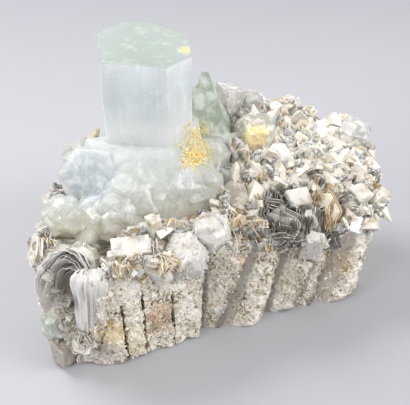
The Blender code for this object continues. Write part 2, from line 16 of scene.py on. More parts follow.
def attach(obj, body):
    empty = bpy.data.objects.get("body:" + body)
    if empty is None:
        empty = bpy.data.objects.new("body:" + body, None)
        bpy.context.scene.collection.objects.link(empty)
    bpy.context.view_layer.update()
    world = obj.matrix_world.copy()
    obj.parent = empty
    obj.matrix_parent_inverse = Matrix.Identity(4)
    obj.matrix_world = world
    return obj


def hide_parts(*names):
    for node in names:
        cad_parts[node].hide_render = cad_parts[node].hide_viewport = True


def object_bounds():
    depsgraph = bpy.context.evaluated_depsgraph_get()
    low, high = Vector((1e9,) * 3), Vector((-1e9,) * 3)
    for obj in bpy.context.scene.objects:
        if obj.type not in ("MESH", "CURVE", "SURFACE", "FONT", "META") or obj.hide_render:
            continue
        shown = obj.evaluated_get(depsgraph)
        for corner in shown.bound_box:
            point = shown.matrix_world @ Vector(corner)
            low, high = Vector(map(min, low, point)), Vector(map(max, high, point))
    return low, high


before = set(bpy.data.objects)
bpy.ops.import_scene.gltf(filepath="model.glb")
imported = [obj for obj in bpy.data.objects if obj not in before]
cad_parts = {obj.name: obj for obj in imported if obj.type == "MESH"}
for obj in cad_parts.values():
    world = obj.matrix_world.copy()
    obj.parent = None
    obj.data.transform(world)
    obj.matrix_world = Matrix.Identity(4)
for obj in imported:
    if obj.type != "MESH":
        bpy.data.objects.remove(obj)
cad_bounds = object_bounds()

MM = 0.001
DRAWING_MIDDLE = Vector((1.15, 3.8, 0.0))
UP = Vector((0, 0, 1))
SHARP_ANGLE = math.radians(18.0)
MERGE = 1e-6              # loose triangles of a node are joined within this distance
TONE = "tone"             # attribute that tells one small crystal from the next
SHEET_UV = "sheet"        # UV map along and across a bent sheet

IMAGE_WIDTH = 410
FOCAL_PIXELS = 745.0
SENSOR = 36.0
CAMERA_PLACE = (-98.5, -248.9, 235.0)
CAMERA_AHEAD = Vector((0.2965, 0.7527, -0.5878))
CAMERA_RIGHT = Vector((0.9304, -0.3665, 0.0))

# rim of the rock, anticlockwise from the left front corner
ROCK_RIM = (
    (-75, -22, 37), (-67, -30, 37), (-60, -36, 42), (-52, -42, 48), (-42, -42, 45), (-32, -41, 42),
    (-20, -41, 43), (-12, -38, 46), (2, -40, 44), (14, -41, 41), (28, -41, 37), (43, -41, 35),
    (55, -40, 36), (64, -36, 39), (73, -23, 43), (79, -8, 47), (82, 6, 51), (76, 16, 53),
    (63, 25, 56), (49, 37, 59), (30, 45, 59), (8, 52, 56), (-18, 52, 53), (-42, 43, 49),
    (-58, 26, 46), (-70, 6, 43), (-77, -11, 42),
)

# smooth strips where the saw ran along the front wall: x at the foot, x at a height of 40, half width
BAND_HEIGHT = 40.0
SAWN_STRIPS = ((-5.2, 4.6, 3.0), (15.0, 23.0, 1.2), (28.2, 39.5, 1.6), (39.0, 51.5, 4.4), (58.4, 69.6, 2.2))

# inner corners of the stepped front wall, painted dark as shade: x at the foot, x at a height of 40
GROOVES = ((-16.0, -14.5), (-8.5, 2.6), (13.5, 21.6), (26.0, 37.5), (34.5, 47.6), (56.0, 67.5))
GROOVE_HALF_WIDTH = 1.8

# drawn places that more than one part or finish uses
SIDE_BERYL = Vector((-78, -22, 13))       # green crystal low on the left end
HOLLOW = Vector((-68.5, -31, 37))         # inside of the folded sheaf
SIDE_CENTRE = Vector((-50.0, 4.5, 62.5))  # bluish stub beside the prism
SIDE_AXIS = Vector((-0.513, -0.736, 0.442))


def drawn(x, y, z):
    """A point of the drawing, in metres about the part's origin."""
    return (Vector((x, y, z)) - DRAWING_MIDDLE) * MM


# ---------------------------------------------------------------- crystals by their faces
def compass(degrees, rise=0.0):
    """Unit normal of a face that looks along a compass direction and rises by degrees."""
    turn = math.radians(degrees)
    lift = math.radians(rise)
    return Vector((math.cos(turn) * math.cos(lift), math.sin(turn) * math.cos(lift), math.sin(lift)))


def split_off(bm, place, normal):
    """Cut away what lies beyond a plane and close the cut."""
    cut = bmesh.ops.bisect_plane(
        bm, geom=bm.verts[:] + bm.edges[:] + bm.faces[:], plane_co=place, plane_no=normal, clear_outer=True
    )
    rim = [part for part in cut["geom_cut"] if isinstance(part, bmesh.types.BMEdge)]
    if rim:
        bmesh.ops.contextual_create(bm, geom=rim)


def cleaved(faces, reach):
    """A convex crystal: a block cut back to each face, given by its normal and distance."""
    bm = bmesh.new()
    bmesh.ops.create_cube(bm, size=2.0 * reach)
    for normal, distance in faces:
        normal = Vector(normal).normalized()
        split_off(bm, normal * distance, normal)
    bmesh.ops.recalc_face_normals(bm, faces=bm.faces)
    return bm


def in_order(bm):
    """Sort the mesh's parts by place, because some operators leave their order open."""
    bm.verts.sort(key=lambda vert: vert.co.x + 0.618034 * vert.co.y + 0.414214 * vert.co.z)
    bm.verts.index_update()
    for parts in (bm.edges, bm.faces):
        parts.sort(key=lambda part: sum(math.sqrt(vert.index + 0.5) for vert in part.verts))
        parts.index_update()


def worn(bm, width, segments=1):
    """Round the crystal's sharp edges by a small width."""
    sharp = [edge for edge in bm.edges if edge.is_manifold and edge.calc_face_angle(0.0) > SHARP_ANGLE]
    bmesh.ops.bevel(
        bm, geom=sharp, offset=width, affect="EDGES", segments=segments, profile=0.5, material=-1,
        clamp_overlap=True,
    )
    in_order(bm)


def hexagonal(radius, up, down, rng, dome=None):
    """Faces of a six-sided crystal, with sloping faces at its top if a dome's rise and cut are given."""
    faces = [(UP, up), (-UP, down)]
    for side in range(6):
        distance = radius * rng.uniform(0.88, 1.06)
        faces.append((compass(60 * side), distance))
        if dome:
            rise, cut = dome
            lift = math.radians(rise)
            corner = distance * math.cos(lift) + up * math.sin(lift)
            faces.append((compass(60 * side + rng.uniform(-9, 9), rise), corner - cut * rng.uniform(0.7, 1.3)))
    return faces


def turned(degrees, axis):
    return Matrix.Rotation(math.radians(degrees), 4, axis)


def on_drawing(place):
    """A place in metres as a point of the drawing."""
    return place / MM + DRAWING_MIDDLE


def frame_on(centre, axis, spin=0.0):
    """Matrix that stands a piece's own +Z along an axis at a drawn centre, its +X near the part's."""
    own_z = Vector(axis).normalized()
    own_y = own_z.cross(Vector((1, 0, 0.001))).normalized()
    own_x = own_y.cross(own_z)
    turn = Matrix((own_x, own_y, own_z)).transposed().to_4x4()
    return Matrix.Translation(drawn(*centre)) @ turn @ turned(spin, "Z")


def node_copy(name):
    """A CAD node's mesh, its loose triangles joined."""
    bm = bmesh.new()
    bm.from_mesh(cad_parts[name].data)
    bmesh.ops.remove_doubles(bm, verts=bm.verts[:], dist=MERGE)
    return bm


def surface_spots(bm, count, rng):
    """Random spots on a bmesh, by area, each a drawn point and an outward normal; the bmesh is freed."""
    bmesh.ops.triangulate(bm, faces=bm.faces[:])
    faces = list(bm.faces)
    picked = rng.choices(faces, weights=[face.calc_area() for face in faces], k=count)
    spots = []
    for face in picked:
        first, second = sorted((rng.random(), rng.random()))
        corners = [vert.co for vert in face.verts]
        spot = corners[0] * first + corners[1] * (second - first) + corners[2] * (1 - second)
        spots.append((on_drawing(spot), face.normal.copy()))
    bm.free()
    return spots


def scatter(rng, spread):
    return Vector([rng.uniform(-spread, spread) for _ in range(3)])


def mesh_of(name, bm):
    """The bmesh as mesh data; the bmesh is freed."""
    mesh = bpy.data.meshes.new(name)
    bm.to_mesh(mesh)
    bm.free()
    return mesh


def in_scene(name, data):
    obj = bpy.data.objects.new(name, data)
    bpy.context.scene.collection.objects.link(obj)
    return obj


def piece(name, mesh, finish, replaced=None):
    """A flat-shaded mesh that rides on the specimen, in place of a CAD node if one is given."""
    obj = in_scene(name, mesh)
    mesh.materials.clear()
    mesh.materials.append(finish)
    mesh.polygons.foreach_set("use_smooth", [False] * len(mesh.polygons))
    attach(obj, "root")
    if replaced:
        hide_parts(replaced)


# ---------------------------------------------------------------- finishes
class Signal:
    """A socket of a finish's node tree, with arithmetic on its values."""

    def __init__(self, finish, socket):
        self.finish = finish
        self.socket = socket

    def maths(self, operation, first, second=0.5):
        return self.finish.node("ShaderNodeMath", {"operation": operation}, {0: first, 1: second})

    def __add__(self, other):
        return self.maths("ADD", self, other)

    def __sub__(self, other):
        return self.maths("SUBTRACT", self, other)

    def __rsub__(self, other):
        return self.maths("SUBTRACT", other, self)

    def __mul__(self, other):
        return self.maths("MULTIPLY", self, other)

    __radd__ = __add__
    __rmul__ = __mul__

    def __abs__(self):
        return self.maths("ABSOLUTE", self)

    def most(self, other):
        return self.maths("MAXIMUM", self, other)

    def least(self, other):
        return self.maths("MINIMUM", self, other)

    def step(self, low, high):
        """0 below low and 1 above high, with a smooth rise between them."""
        sockets = {"Value": self, "From Min": low, "From Max": high}
        return self.finish.node("ShaderNodeMapRange", {"interpolation_type": "SMOOTHSTEP"}, sockets)


class Finish:
    """A material under construction."""

    def __init__(self, name):
        self.material = bpy.data.materials.new(name)
        self.material.use_nodes = True
        self.tree = self.material.node_tree
        self.tree.nodes.clear()
        self.output = self.tree.nodes.new("ShaderNodeOutputMaterial")
        self.place = self.node("ShaderNodeTexCoord", output="Object")
        self.x, self.y, self.z = (
            self.node("ShaderNodeSeparateXYZ", {}, {0: self.place}, output=axis) for axis in range(3)
        )

    def node(self, kind, settings=None, sockets=None, output=0):
        made = self.tree.nodes.new(kind)
        for key, value in (settings or {}).items():
            if key == "stops":
                ramp = made.color_ramp.elements
                while len(ramp) > 1:
                    ramp.remove(ramp[-1])
                ramp[0].position, ramp[0].color = value[0][0], (*value[0][1], 1.0)
                for position, colour in value[1:]:
                    ramp.new(position).color = (*colour, 1.0)
            else:
                setattr(made, key, value)
        for key, value in (sockets or {}).items():
            if isinstance(value, Signal):
                self.tree.links.new(value.socket, made.inputs[key])
            else:
                is_colour = made.inputs[key].type == "RGBA" and len(value) == 3
                made.inputs[key].default_value = (*value, 1.0) if is_colour else value
        return Signal(self, made.outputs[output])

    def noise(self, size, detail=2.0, roughness=0.5, place=None):
        """Cloudy values 0..1 that vary over a size in millimetres."""
        sockets = {"Scale": 1.0 / (size * MM), "Detail": detail, "Roughness": roughness}
        return self.node("ShaderNodeTexNoise", {}, {"Vector": place or self.place, **sockets})

    def grains(self, size, output="Color"):
        """Cells of a size in millimetres."""
        sockets = {"Scale": 1.0 / (size * MM), "Vector": self.place}
        return self.node("ShaderNodeTexVoronoi", {}, sockets, output)

    def stretched(self, x, y, z):
        """The place scaled along each axis, for patterns that run one way."""
        return self.node("ShaderNodeMapping", {}, {"Vector": self.place, "Scale": (x, y, z)})

    def ramp(self, value, stops):
        return self.node("ShaderNodeValToRGB", {"stops": stops}, {0: value})

    def blend(self, share, first, second):
        """Colour between the first and the second."""
        return self.node("ShaderNodeMix", {"data_type": "RGBA"}, {0: share, 6: first, 7: second}, output=2)

    def layered(self, tint, *layers):
        """A colour with others laid over it in turn, each a share and a colour."""
        for share, colour in layers:
            tint = self.blend(share, tint, colour)
        return tint

    def grey(self, colour):
        return self.node("ShaderNodeRGBToBW", {}, {0: colour})

    def tone(self):
        return self.node("ShaderNodeAttribute", {"attribute_name": TONE}, {}, output="Fac")

    def near(self, centre, inner, outer):
        """1 within inner millimetres of a drawn point, falling to 0 at outer."""
        ends = {0: self.place, 1: drawn(*centre)}
        offset = self.node("ShaderNodeVectorMath", {"operation": "DISTANCE"}, ends, "Value")
        return 1.0 - offset.step(inner * MM, outer * MM)

    def bump(self, height, strength, distance, normal=None):
        sockets = {"Height": height, "Strength": strength, "Distance": distance * MM}
        if normal:
            sockets["Normal"] = normal
        return self.node("ShaderNodeBump", {}, sockets)

    def surface(self, **values):
        """A Principled surface; varying values are signals and constants stay on their sockets."""
        sockets = {key.replace("_", " "): value for key, value in values.items()}
        return self.node("ShaderNodeBsdfPrincipled", {}, sockets)

    def mixed(self, share, first, second):
        return self.node("ShaderNodeMixShader", {}, {0: share, 1: first, 2: second})

    def done(self, **values):
        """The material, with a Principled surface of the values."""
        return self.closed(self.surface(**values))

    def closed(self, surface):
        self.tree.links.new(surface.socket, self.output.inputs["Surface"])
        return self.material

    def crystal(self, milk, ior, ground, clear, absorption, **milky):
        """A see-through crystal: its milky share, the clear part's colour and roughness, the colour and
        density of what it absorbs, and the milky part's values."""
        absorbed = self.node("ShaderNodeVolumeAbsorption", {}, dict(zip(("Color", "Density"), absorption)))
        self.tree.links.new(absorbed.socket, self.output.inputs["Volume"])
        colour, roughness = clear
        through = self.surface(
            Base_Color=colour, Roughness=roughness, IOR=ior, Transmission_Weight=1.0, Normal=ground
        )
        return self.closed(self.mixed(milk, through, self.surface(IOR=ior, Normal=ground, **milky)))


BERYL_IOR = 1.575
QUARTZ_IOR = 1.54
FELDSPAR_IOR = 1.53
MICA_IOR = 1.58
# iron stains: drawn centre, inner and outer radius
FOOT_STAIN = ((-4, 6, 64), 3.0, 11.0)
TOP_STAIN = ((-4.5, 10, 110), 0.5, 5.0)
WEDGE_STAIN = ((2, 20, 63), 4.0, 13.0)
QUARTZ_STAIN = ((28.5, 10, 63), 2.0, 8.5)


def aquamarine_finish():
    """Prism with striae and veils over a milky foot, bluish in the stub beside it."""
    f = Finish("aquamarine_clear_over_milky_foot")
    height = f.z * (1.0 / MM)
    cloud = f.noise(9.0, 4.0, 0.6)
    small_cloud = f.noise(3.5, 3.0, 0.6)
    foot = 1.0 - (height + cloud * 20.0).step(66.0, 94.0)
    top = height.step(109.0, 109.6)
    upright = f.stretched(1.0, 1.0, 0.03)
    bands = f.noise(4.5, 3.0, 0.6, upright).step(0.46, 0.64)
    veils = f.noise(6.0, 4.0, 0.7, f.stretched(1.0, 1.0, 0.4)).step(0.50, 0.72)
    flecks = 1.0 - f.grains(3.4, "Distance").step(0.06, 0.14)
    flecks = flecks * f.noise(8.0, 3.0, 0.6).step(0.56, 0.66)
    side = f.near((-51, 2, 64), 9.0, 15.0) * height.step(52.0, 58.0)
    base = (1.0 - height.step(74.0, 96.0)) * (1.0 - foot)
    crushed = f.noise(1.7, 4.0, 0.75).step(0.52, 0.66)
    iron = (f.near(*FOOT_STAIN) + f.near(*TOP_STAIN)).least(1.0) * f.noise(0.9, 4.0, 0.75).step(0.42, 0.54)
    milk = 0.59 + veils * 0.12 + bands * (1.0 - top) * 0.04 - top * 0.12 + flecks * 0.3
    milk = milk + foot * (0.12 + small_cloud.step(0.40, 0.66) * 0.12) - side * 0.14 + base * 0.22
    tint = f.layered(
        f.blend(bands * 0.6, (0.86, 0.94, 0.99), (0.93, 0.98, 1.0)),
        (base * 0.8, (0.97, 0.99, 0.98)),
        (foot, (0.56, 0.57, 0.50)),
        (cloud.step(0.40, 0.66) * 0.4, (0.72, 0.76, 0.73)),
        (top, f.blend(veils * 0.5, (0.68, 0.78, 0.71), (0.78, 0.83, 0.77))),
        (side * 0.85, f.blend(small_cloud.step(0.32, 0.70), (0.66, 0.77, 0.82), (0.94, 0.97, 0.99))),
        (f.near((-5, 3, 68), 5.0, 16.0) * 0.35, (0.80, 0.82, 0.52)),
        ((crushed * foot * 0.45).most(flecks), (0.92, 0.97, 0.96)),
        ((1.0 - height.step(48.0, 58.0)) * 0.6, (0.78, 0.72, 0.56)),
        (iron, f.ramp(f.noise(0.8), ((0.35, (0.78, 0.44, 0.05)), (0.6, (0.95, 0.74, 0.16))))),
    )
    ground = f.bump(f.noise(1.3, 3.0, 0.65, upright), 0.12, 0.4)
    ground = f.bump(small_cloud * foot + f.noise(0.9, 3.0, 0.7) * (0.1 + foot * 0.5), 0.3, 0.5, ground)
    return f.crystal(
        (milk + iron * 0.8).least(0.96), BERYL_IOR, ground, ((0.96, 0.99, 1.0), 0.24), ((0.74, 0.94, 0.90), 3.0),
        Base_Color=tint,
        Roughness=0.18 + foot * 0.10,
        Subsurface_Weight=0.8,
        Subsurface_Radius=(1.0, 1.0, 1.0),
        Subsurface_Scale=0.018,
    )


def green_beryl_finish():
    f = Finish("green_beryl")
    cloud = f.noise(6.0, 4.0, 0.62)
    iron = f.near(*WEDGE_STAIN) * f.noise(1.2, 3.0, 0.7).step(0.44, 0.58)
    milk = 0.42 + cloud.step(0.42, 0.66) * 0.25 + iron * 0.5
    tint = f.layered(
        f.blend(cloud.step(0.35, 0.65), (0.66, 0.78, 0.60), (0.92, 0.96, 0.89)),
        # side crystal painted paler: partly its own pale green, partly painted light that lifts the shade it sits
        # in
        (f.near(SIDE_BERYL, 8.0, 16.0) * 0.7, (0.88, 0.92, 0.86)),
        (iron * 0.85, (0.84, 0.58, 0.12)),
    )
    ground = f.bump(f.noise(1.8, 4.0, 0.65), 0.3, 0.5)
    clear, absorption = ((0.92, 0.98, 0.92), 0.07), ((0.60, 0.82, 0.58), 14.0)
    return f.crystal(milk.least(0.95), BERYL_IOR, ground, clear, absorption, Base_Color=tint, Roughness=0.25)


def clear_finish(name, tint, milk_share, stain=None):
    """Clear quartz with milky clouds and, where one is given, an iron stain."""
    f = Finish(name)
    cloud = f.noise(4.0, 4.0, 0.65)
    ground = f.bump(f.noise(1.6, 4.0, 0.65), 0.35, 0.45)
    tint = f.blend(cloud, tint, (0.84, 0.82, 0.77))
    milk = milk_share + cloud.step(0.44, 0.62) * 0.35
    if stain:
        iron = f.near(*stain) * f.noise(1.2, 4.0, 0.7).step(0.42, 0.55)
        tint = f.blend(iron, tint, (0.90, 0.62, 0.12))
        milk = milk + iron * 0.6
    clear, absorption = ((0.98, 0.98, 0.97), 0.06), ((0.93, 0.92, 0.88), 4.0)
    return f.crystal(milk.least(0.95), QUARTZ_IOR, ground, clear, absorption, Base_Color=tint, Roughness=0.25)


def feldspar_finish():
    """White lumps of feldspar with cleavage steps and beige joints."""
    f = Finish("white_feldspar")
    cloud = f.noise(5.0, 4.0, 0.6)
    grain = f.noise(1.0, 3.0, 0.6)
    cleavage = f.noise(1.2, 2.0, 0.5, f.stretched(0.25, 1.0, 1.6))
    tint = f.ramp(cloud, ((0.32, (0.50, 0.44, 0.34)), (0.46, (0.66, 0.63, 0.56)), (0.68, (0.74, 0.74, 0.72))))
    return f.done(
        Base_Color=f.blend(grain.step(0.62, 0.74) * 0.3, tint, (0.66, 0.59, 0.48)),
        Roughness=0.24 + cloud * 0.25,
        IOR=FELDSPAR_IOR,
        Subsurface_Weight=0.5,
        Subsurface_Radius=(1.0, 0.9, 0.8),
        Subsurface_Scale=0.005,
        Coat_Weight=0.25,
        Coat_Roughness=0.1,
        Normal=f.bump(grain, 0.25, 0.2, f.bump(cleavage, 0.3, 0.4)),
    )


def albite_finish():
    """Glassy to chalky tablets of the crust, each with its own tone."""
    f = Finish("albite_crust")
    tone = f.tone()
    cloud = f.noise(2.4, 4.0, 0.65)
    grain = f.noise(0.9, 3.0, 0.6)
    stops = (
        (0.05, (0.68, 0.56, 0.39)), (0.22, (0.77, 0.68, 0.53)), (0.42, (0.80, 0.75, 0.64)),
        (0.64, (0.81, 0.78, 0.71)), (0.95, (0.82, 0.81, 0.77)),
    )
    tint = f.layered(
        f.ramp((tone * 0.7 + cloud * 0.5 - 0.1).least(1.0), stops),
        (f.noise(12.0, 2.0, 0.5).step(0.46, 0.68) * 0.4, (0.76, 0.68, 0.53)),
        ((1.0 - f.y.step(-0.030, 0.012)) * 0.4, (0.76, 0.67, 0.50)),
        (grain.step(0.60, 0.76) * 0.3, (0.56, 0.48, 0.35)),
    )
    ground = f.bump(grain, 0.25, 0.2, f.bump(cloud, 0.3, 0.3))
    solid = f.surface(
        Base_Color=tint,
        Roughness=0.22 + grain * 0.3,
        IOR=FELDSPAR_IOR,
        Subsurface_Weight=0.9,
        Subsurface_Radius=(1.0, 0.86, 0.70),
        Subsurface_Scale=0.010,
        Normal=ground,
    )
    glassy = f.surface(
        Base_Color=(0.99, 0.98, 0.95), Roughness=0.2, IOR=FELDSPAR_IOR, Transmission_Weight=1.0, Normal=ground
    )
    return f.closed(f.mixed(1.0 - tone.step(0.30, 0.85) * 0.07, glassy, solid))


def mica_finish(name, dark, middle, bright, gloss=0.22):
    """Pearly mica: each leaf has its own tone and the stack shows fine lines."""
    f = Finish(name)
    tone = f.tone()
    grain = f.noise(1.6, 3.0, 0.6)
    streak = f.noise(0.9, 3.0, 0.7, f.stretched(1.6, 1.0, 0.12))
    stops = ((0.25, dark), (0.48, middle), (0.72, bright), (0.95, (0.95, 0.94, 0.91)))
    return f.done(
        Base_Color=f.ramp((tone * 0.55 + grain * 0.20 + streak * 0.45).least(1.0), stops),
        Roughness=gloss + grain * 0.22,
        Metallic=0.10 + tone * 0.20,
        IOR=MICA_IOR,
        Coat_Weight=0.35,
        Coat_Roughness=0.12,
        Normal=f.bump(f.noise(0.7, 2.0, 0.5), 0.15, 0.2),
    )


def sheaf_finish():
    """Silvery folia of the bent sheaf, with lines that follow its length and painted shade inside its hollow."""
    f = Finish("silver_mica_folia")
    along = f.node("ShaderNodeUVMap", {"uv_map": SHEET_UV})
    lines = f.noise(1.0, 4.0, 0.7, f.node("ShaderNodeMapping", {}, {"Vector": along, "Scale": (1.5, 0.08, 0.0)}))
    tint = f.ramp(
        (f.tone() * 0.24 + lines.step(0.34, 0.66) * 0.58 + f.noise(6.0, 3.0, 0.6) * 0.14).least(1.0),
        (
            (0.16, (0.26, 0.21, 0.16)), (0.31, (0.76, 0.72, 0.65)),
            (0.50, (0.92, 0.90, 0.86)), (0.90, (0.96, 0.96, 0.95)),
        ),
    )
    return f.done(
        # painted shade: near-black inside the hollow of the fold
        Base_Color=f.blend(f.near(HOLLOW, 3.5, 9.5) * 0.9, tint, (0.12, 0.10, 0.07)),
        Roughness=0.34,
        Metallic=0.1,
        Coat_Weight=0.2,
        Coat_Roughness=0.2,
        Normal=f.bump(lines, 0.5, 0.4),
    )


# stains of the rock: centre, inner and outer radius, strength, colour
STAINS = (
    ((-36.5, -41, 22.5), 3.0, 7.5, 0.85, (0.56, 0.28, 0.10)),
    ((-35.0, -41, 15), 3.0, 10.0, 0.70, (0.40, 0.27, 0.14)),
    ((-57, -38, 18), 4.0, 11.0, 0.80, (0.84, 0.62, 0.26)),
    ((-47, -41, 11), 3.0, 10.0, 0.50, (0.80, 0.66, 0.38)),
    ((2.5, -39, 38), 1.5, 7.0, 0.85, (0.78, 0.46, 0.18)),
    ((26, -40, 33), 3.0, 8.0, 0.75, (0.26, 0.17, 0.10)),
    ((46, -41, 22), 4.0, 10.0, 0.75, (0.62, 0.44, 0.16)),
    ((42, -39, 33), 2.0, 7.0, 0.60, (0.52, 0.38, 0.18)),
    ((-14, -35, 30), 5.0, 15.0, 0.38, (0.38, 0.31, 0.22)),
    ((19, -38, 20), 4.0, 13.0, 0.42, (0.40, 0.32, 0.22)),
    ((-60, -38, 6), 4.0, 11.0, 0.70, (0.47, 0.43, 0.42)),
    ((-68, -30, 22), 5.0, 14.0, 0.80, (0.24, 0.21, 0.18)),
)


def leaning_bands(f, bands, softness):
    """Largest of the bands that lean along the front wall, given as the sawn strips are."""
    mask = None
    for foot_x, top_x, half_width in bands:
        lean = (top_x - foot_x) / BAND_HEIGHT
        across = abs(f.x * (1.0 / MM) + f.z * (-lean / MM) - (foot_x - DRAWING_MIDDLE.x))
        band = 1.0 - across.step(half_width - softness, half_width + softness)
        mask = band if mask is None else mask.most(band)
    front = 1.0 - (f.y * (1.0 / MM)).step(-32.0, -26.0)
    return mask * front


def rock_tint(f, fine):
    """Pale grains with smoky ones between them, darker patches, painted shade in the grooves and iron stains."""
    broad = f.noise(8.0, 4.0, 0.62)
    stops = (
        (0.40, (0.16, 0.13, 0.08)), (0.46, (0.52, 0.45, 0.33)), (0.55, (0.82, 0.75, 0.61)),
        (0.66, (0.94, 0.90, 0.80)), (0.82, (0.97, 0.96, 0.93)),
    )
    tint = f.ramp(f.grey(f.grains(1.1)) * 0.28 + fine * 0.28 + broad * 0.62, stops)
    speckle = f.noise(1.4, 3.0, 0.7)
    for centre, inner, outer, strength, colour in STAINS:
        tint = f.blend(f.near(centre, inner, outer) * speckle.step(0.34, 0.60) * strength, tint, colour)
    # painted shade: the grooves at the inner corners of the steps are darkened in the colour
    bands = [(foot_x, top_x, GROOVE_HALF_WIDTH) for foot_x, top_x in GROOVES]
    painted_groove_shade = leaning_bands(f, bands, 1.7) * (0.46 + broad.step(0.30, 0.60) * 0.42)
    return f.blend(painted_groove_shade, tint, (0.13, 0.11, 0.08))


def rock_finish():
    """Sugary granular feldspar with smooth sawn strips in painted shade, and a light bed under the crust that is
    partly painted light.
    """
    f = Finish("granular_feldspar")
    strip = leaning_bands(f, SAWN_STRIPS, 0.8)
    fine = f.grey(f.grains(0.7))
    tint = f.layered(
        rock_tint(f, fine),
        # sawn strips painted dark grey-brown: painted shade from the rib beside each one
        (strip * 0.7, f.blend(f.noise(1.2, 4.0, 0.7), (0.22, 0.19, 0.15), (0.46, 0.42, 0.35))),
        # bed of the crust painted light beige: partly its own beige, partly painted light that lifts the shade in
        # the gaps between crystals
        (f.tone() * 0.8, (0.90, 0.84, 0.72)),
    )
    relief = 1.0 - strip * 0.8
    ground = f.bump(f.noise(0.9, 4.0, 0.7) * relief, 0.8, 0.7)
    ground = f.bump(f.grains(0.9, "Distance") * relief, 0.6, 0.5, ground)
    return f.done(Base_Color=tint, Roughness=0.62 - fine * 0.25, IOR=FELDSPAR_IOR, Normal=ground)


def wall_grain_finish():
    """Grains of the walls: the rock's tint with its painted shade in the grooves, with lighter, smoky and rusty
    ones among them.
    """
    f = Finish("sugary_grains")
    tone = f.tone()
    tint = f.layered(
        rock_tint(f, tone),
        (tone.step(0.80, 0.95) * 0.5, (0.95, 0.94, 0.90)),
        ((1.0 - tone.step(0.06, 0.22)) * 0.8, (0.14, 0.11, 0.07)),
    )
    return f.done(Base_Color=tint, Roughness=0.30 + tone * 0.2, IOR=FELDSPAR_IOR)


def iron_finish():
    f = Finish("iron_oxide")
    stops = (
        (0.1, (0.62, 0.32, 0.04)), (0.35, (0.88, 0.62, 0.10)),
        (0.6, (0.95, 0.80, 0.30)), (0.9, (0.96, 0.92, 0.68)),
    )
    return f.done(Base_Color=f.ramp(f.tone(), stops), Roughness=0.35, Normal=f.bump(f.noise(0.6), 0.4, 0.3))


def floor_finish():
    """Grey paper with painted shade: darker far off, and a painted shadow to the near right."""
    f = Finish("studio_paper")
    tint = f.layered(
        (0.464, 0.468, 0.492),
        # painted shade: darker far off
        ((f.y * 0.8 + f.x * 0.35).step(0.0, 0.50), (0.331, 0.334, 0.364)),
        # painted shadow of the specimen to the near right
        ((f.x * 0.8 - f.y * 0.9).step(-0.02, 0.20) * 0.60, (0.342, 0.345, 0.372)),
    )
    return f.done(Base_Color=tint, Roughness=0.75, Specular_IOR_Level=0.2)


# mica finishes: dark, middle and bright colour, then the least roughness
MICAS = {
    "brown_mica": ((0.34, 0.22, 0.10), (0.64, 0.51, 0.31), (0.88, 0.78, 0.58)),
    "dark_mica": ((0.07, 0.06, 0.05), (0.23, 0.21, 0.18), (0.58, 0.55, 0.50)),
    "silver_mica": ((0.30, 0.26, 0.20), (0.64, 0.60, 0.52), (0.90, 0.88, 0.82)),
    # near-white leaves stand in for glints: painted glint on the bright plates
    "white_mica_painted_glint": ((0.86, 0.85, 0.83), (0.95, 0.95, 0.94), (0.98, 0.98, 0.98), 0.16),
}
# clear finishes: tint, milky share and iron stain
CLEARS = {
    "clear_crystal": ((0.84, 0.84, 0.82), 0.44),
    "clear_grains": ((0.78, 0.71, 0.58), 0.85),
    "grey_clear_crystal": ((0.72, 0.73, 0.68), 0.42),
    "iron_stained_quartz": ((0.80, 0.76, 0.58), 0.45, QUARTZ_STAIN),
    "translucent_mica": ((0.66, 0.55, 0.40), 0.45),
}


def all_finishes():
    """Every finish by its name in the tables."""
    finishes = {
        "aquamarine": aquamarine_finish(),
        "green_beryl": green_beryl_finish(),
        "white_feldspar": feldspar_finish(),
        "albite": albite_finish(),
        "wall_grains": wall_grain_finish(),
        "rock": rock_finish(),
        "folia": sheaf_finish(),
        "iron": iron_finish(),
        "floor": floor_finish(),
    }
    finishes.update({name: clear_finish(name, *values) for name, values in CLEARS.items()})
    finishes.update({name: mica_finish(name, *values) for name, values in MICAS.items()})
    return finishes


# ---------------------------------------------------------------- aquamarine
PRISM_MIDDLE = (-18.0, 21.0)
PRISM_TOP = 110.0
PRISM_ROOT = 47.0
PRISM_SIDES = ((119, 23.9), (61, 23.1), (23, 18.7), (-17, 17.9), (-64, 20.9), (-122, 18.7), (168, 19.3))
FOOT_CRYSTALS = (
    ((-32, -5, 54), (-0.15, -0.30, 1.0), 15, 13.0, 12.0),
    ((-9, -4, 54), (0.15, -0.30, 1.0), 40, 13.0, 11.5),
    ((-50, -6, 50), (-0.20, -0.30, 1.0), 20, 10.5, 7.0),
    ((-62, -1, 49), (-0.45, -0.25, 1.0), 5, 8.5, 8.0),
    ((-42, 22, 52), (-0.10, 0.10, 1.0), 30, 12.0, 13.0),
    ((3, 11, 55), (0.25, 0.05, 1.0), 10, 10.5, 10.0),
    ((-17, 36, 54), (0.05, 0.10, 1.0), 25, 11.5, 10.0),
    ((-19, 13, 58), (0.0, -0.1, 1.0), 33, 22.0, 15.0),
    ((-41, -9, 52), (-0.2, -0.45, 1.0), 25, 9.0, 9.5),
)
PRISM_WEAR = 0.6
STUB_WEAR = 0.35
SMALL_BERYLS = 90         # small crystals that grow out of the foot
# the smooth shoulder that joins the foot's crystals below the prism: normal, distance of each face
SHOULDER_CENTRE = (-20, 0, 54)
SHOULDER_FACES = (
    ((-0.08, -0.62, 0.78), 16.0), ((0.14, -0.70, 0.70), 16.8), (UP, 19.5), ((-0.52, -0.48, 0.70), 18.6),
    ((0.55, -0.40, 0.73), 19.6), ((0.05, -0.95, 0.30), 17.2), ((-0.90, -0.40, 0.20), 20.5),
    ((0.95, -0.25, 0.20), 21.5), ((-0.35, -0.88, 0.32), 18.8), ((0, 1, 0), 18.0), (-UP, 6.0),
)


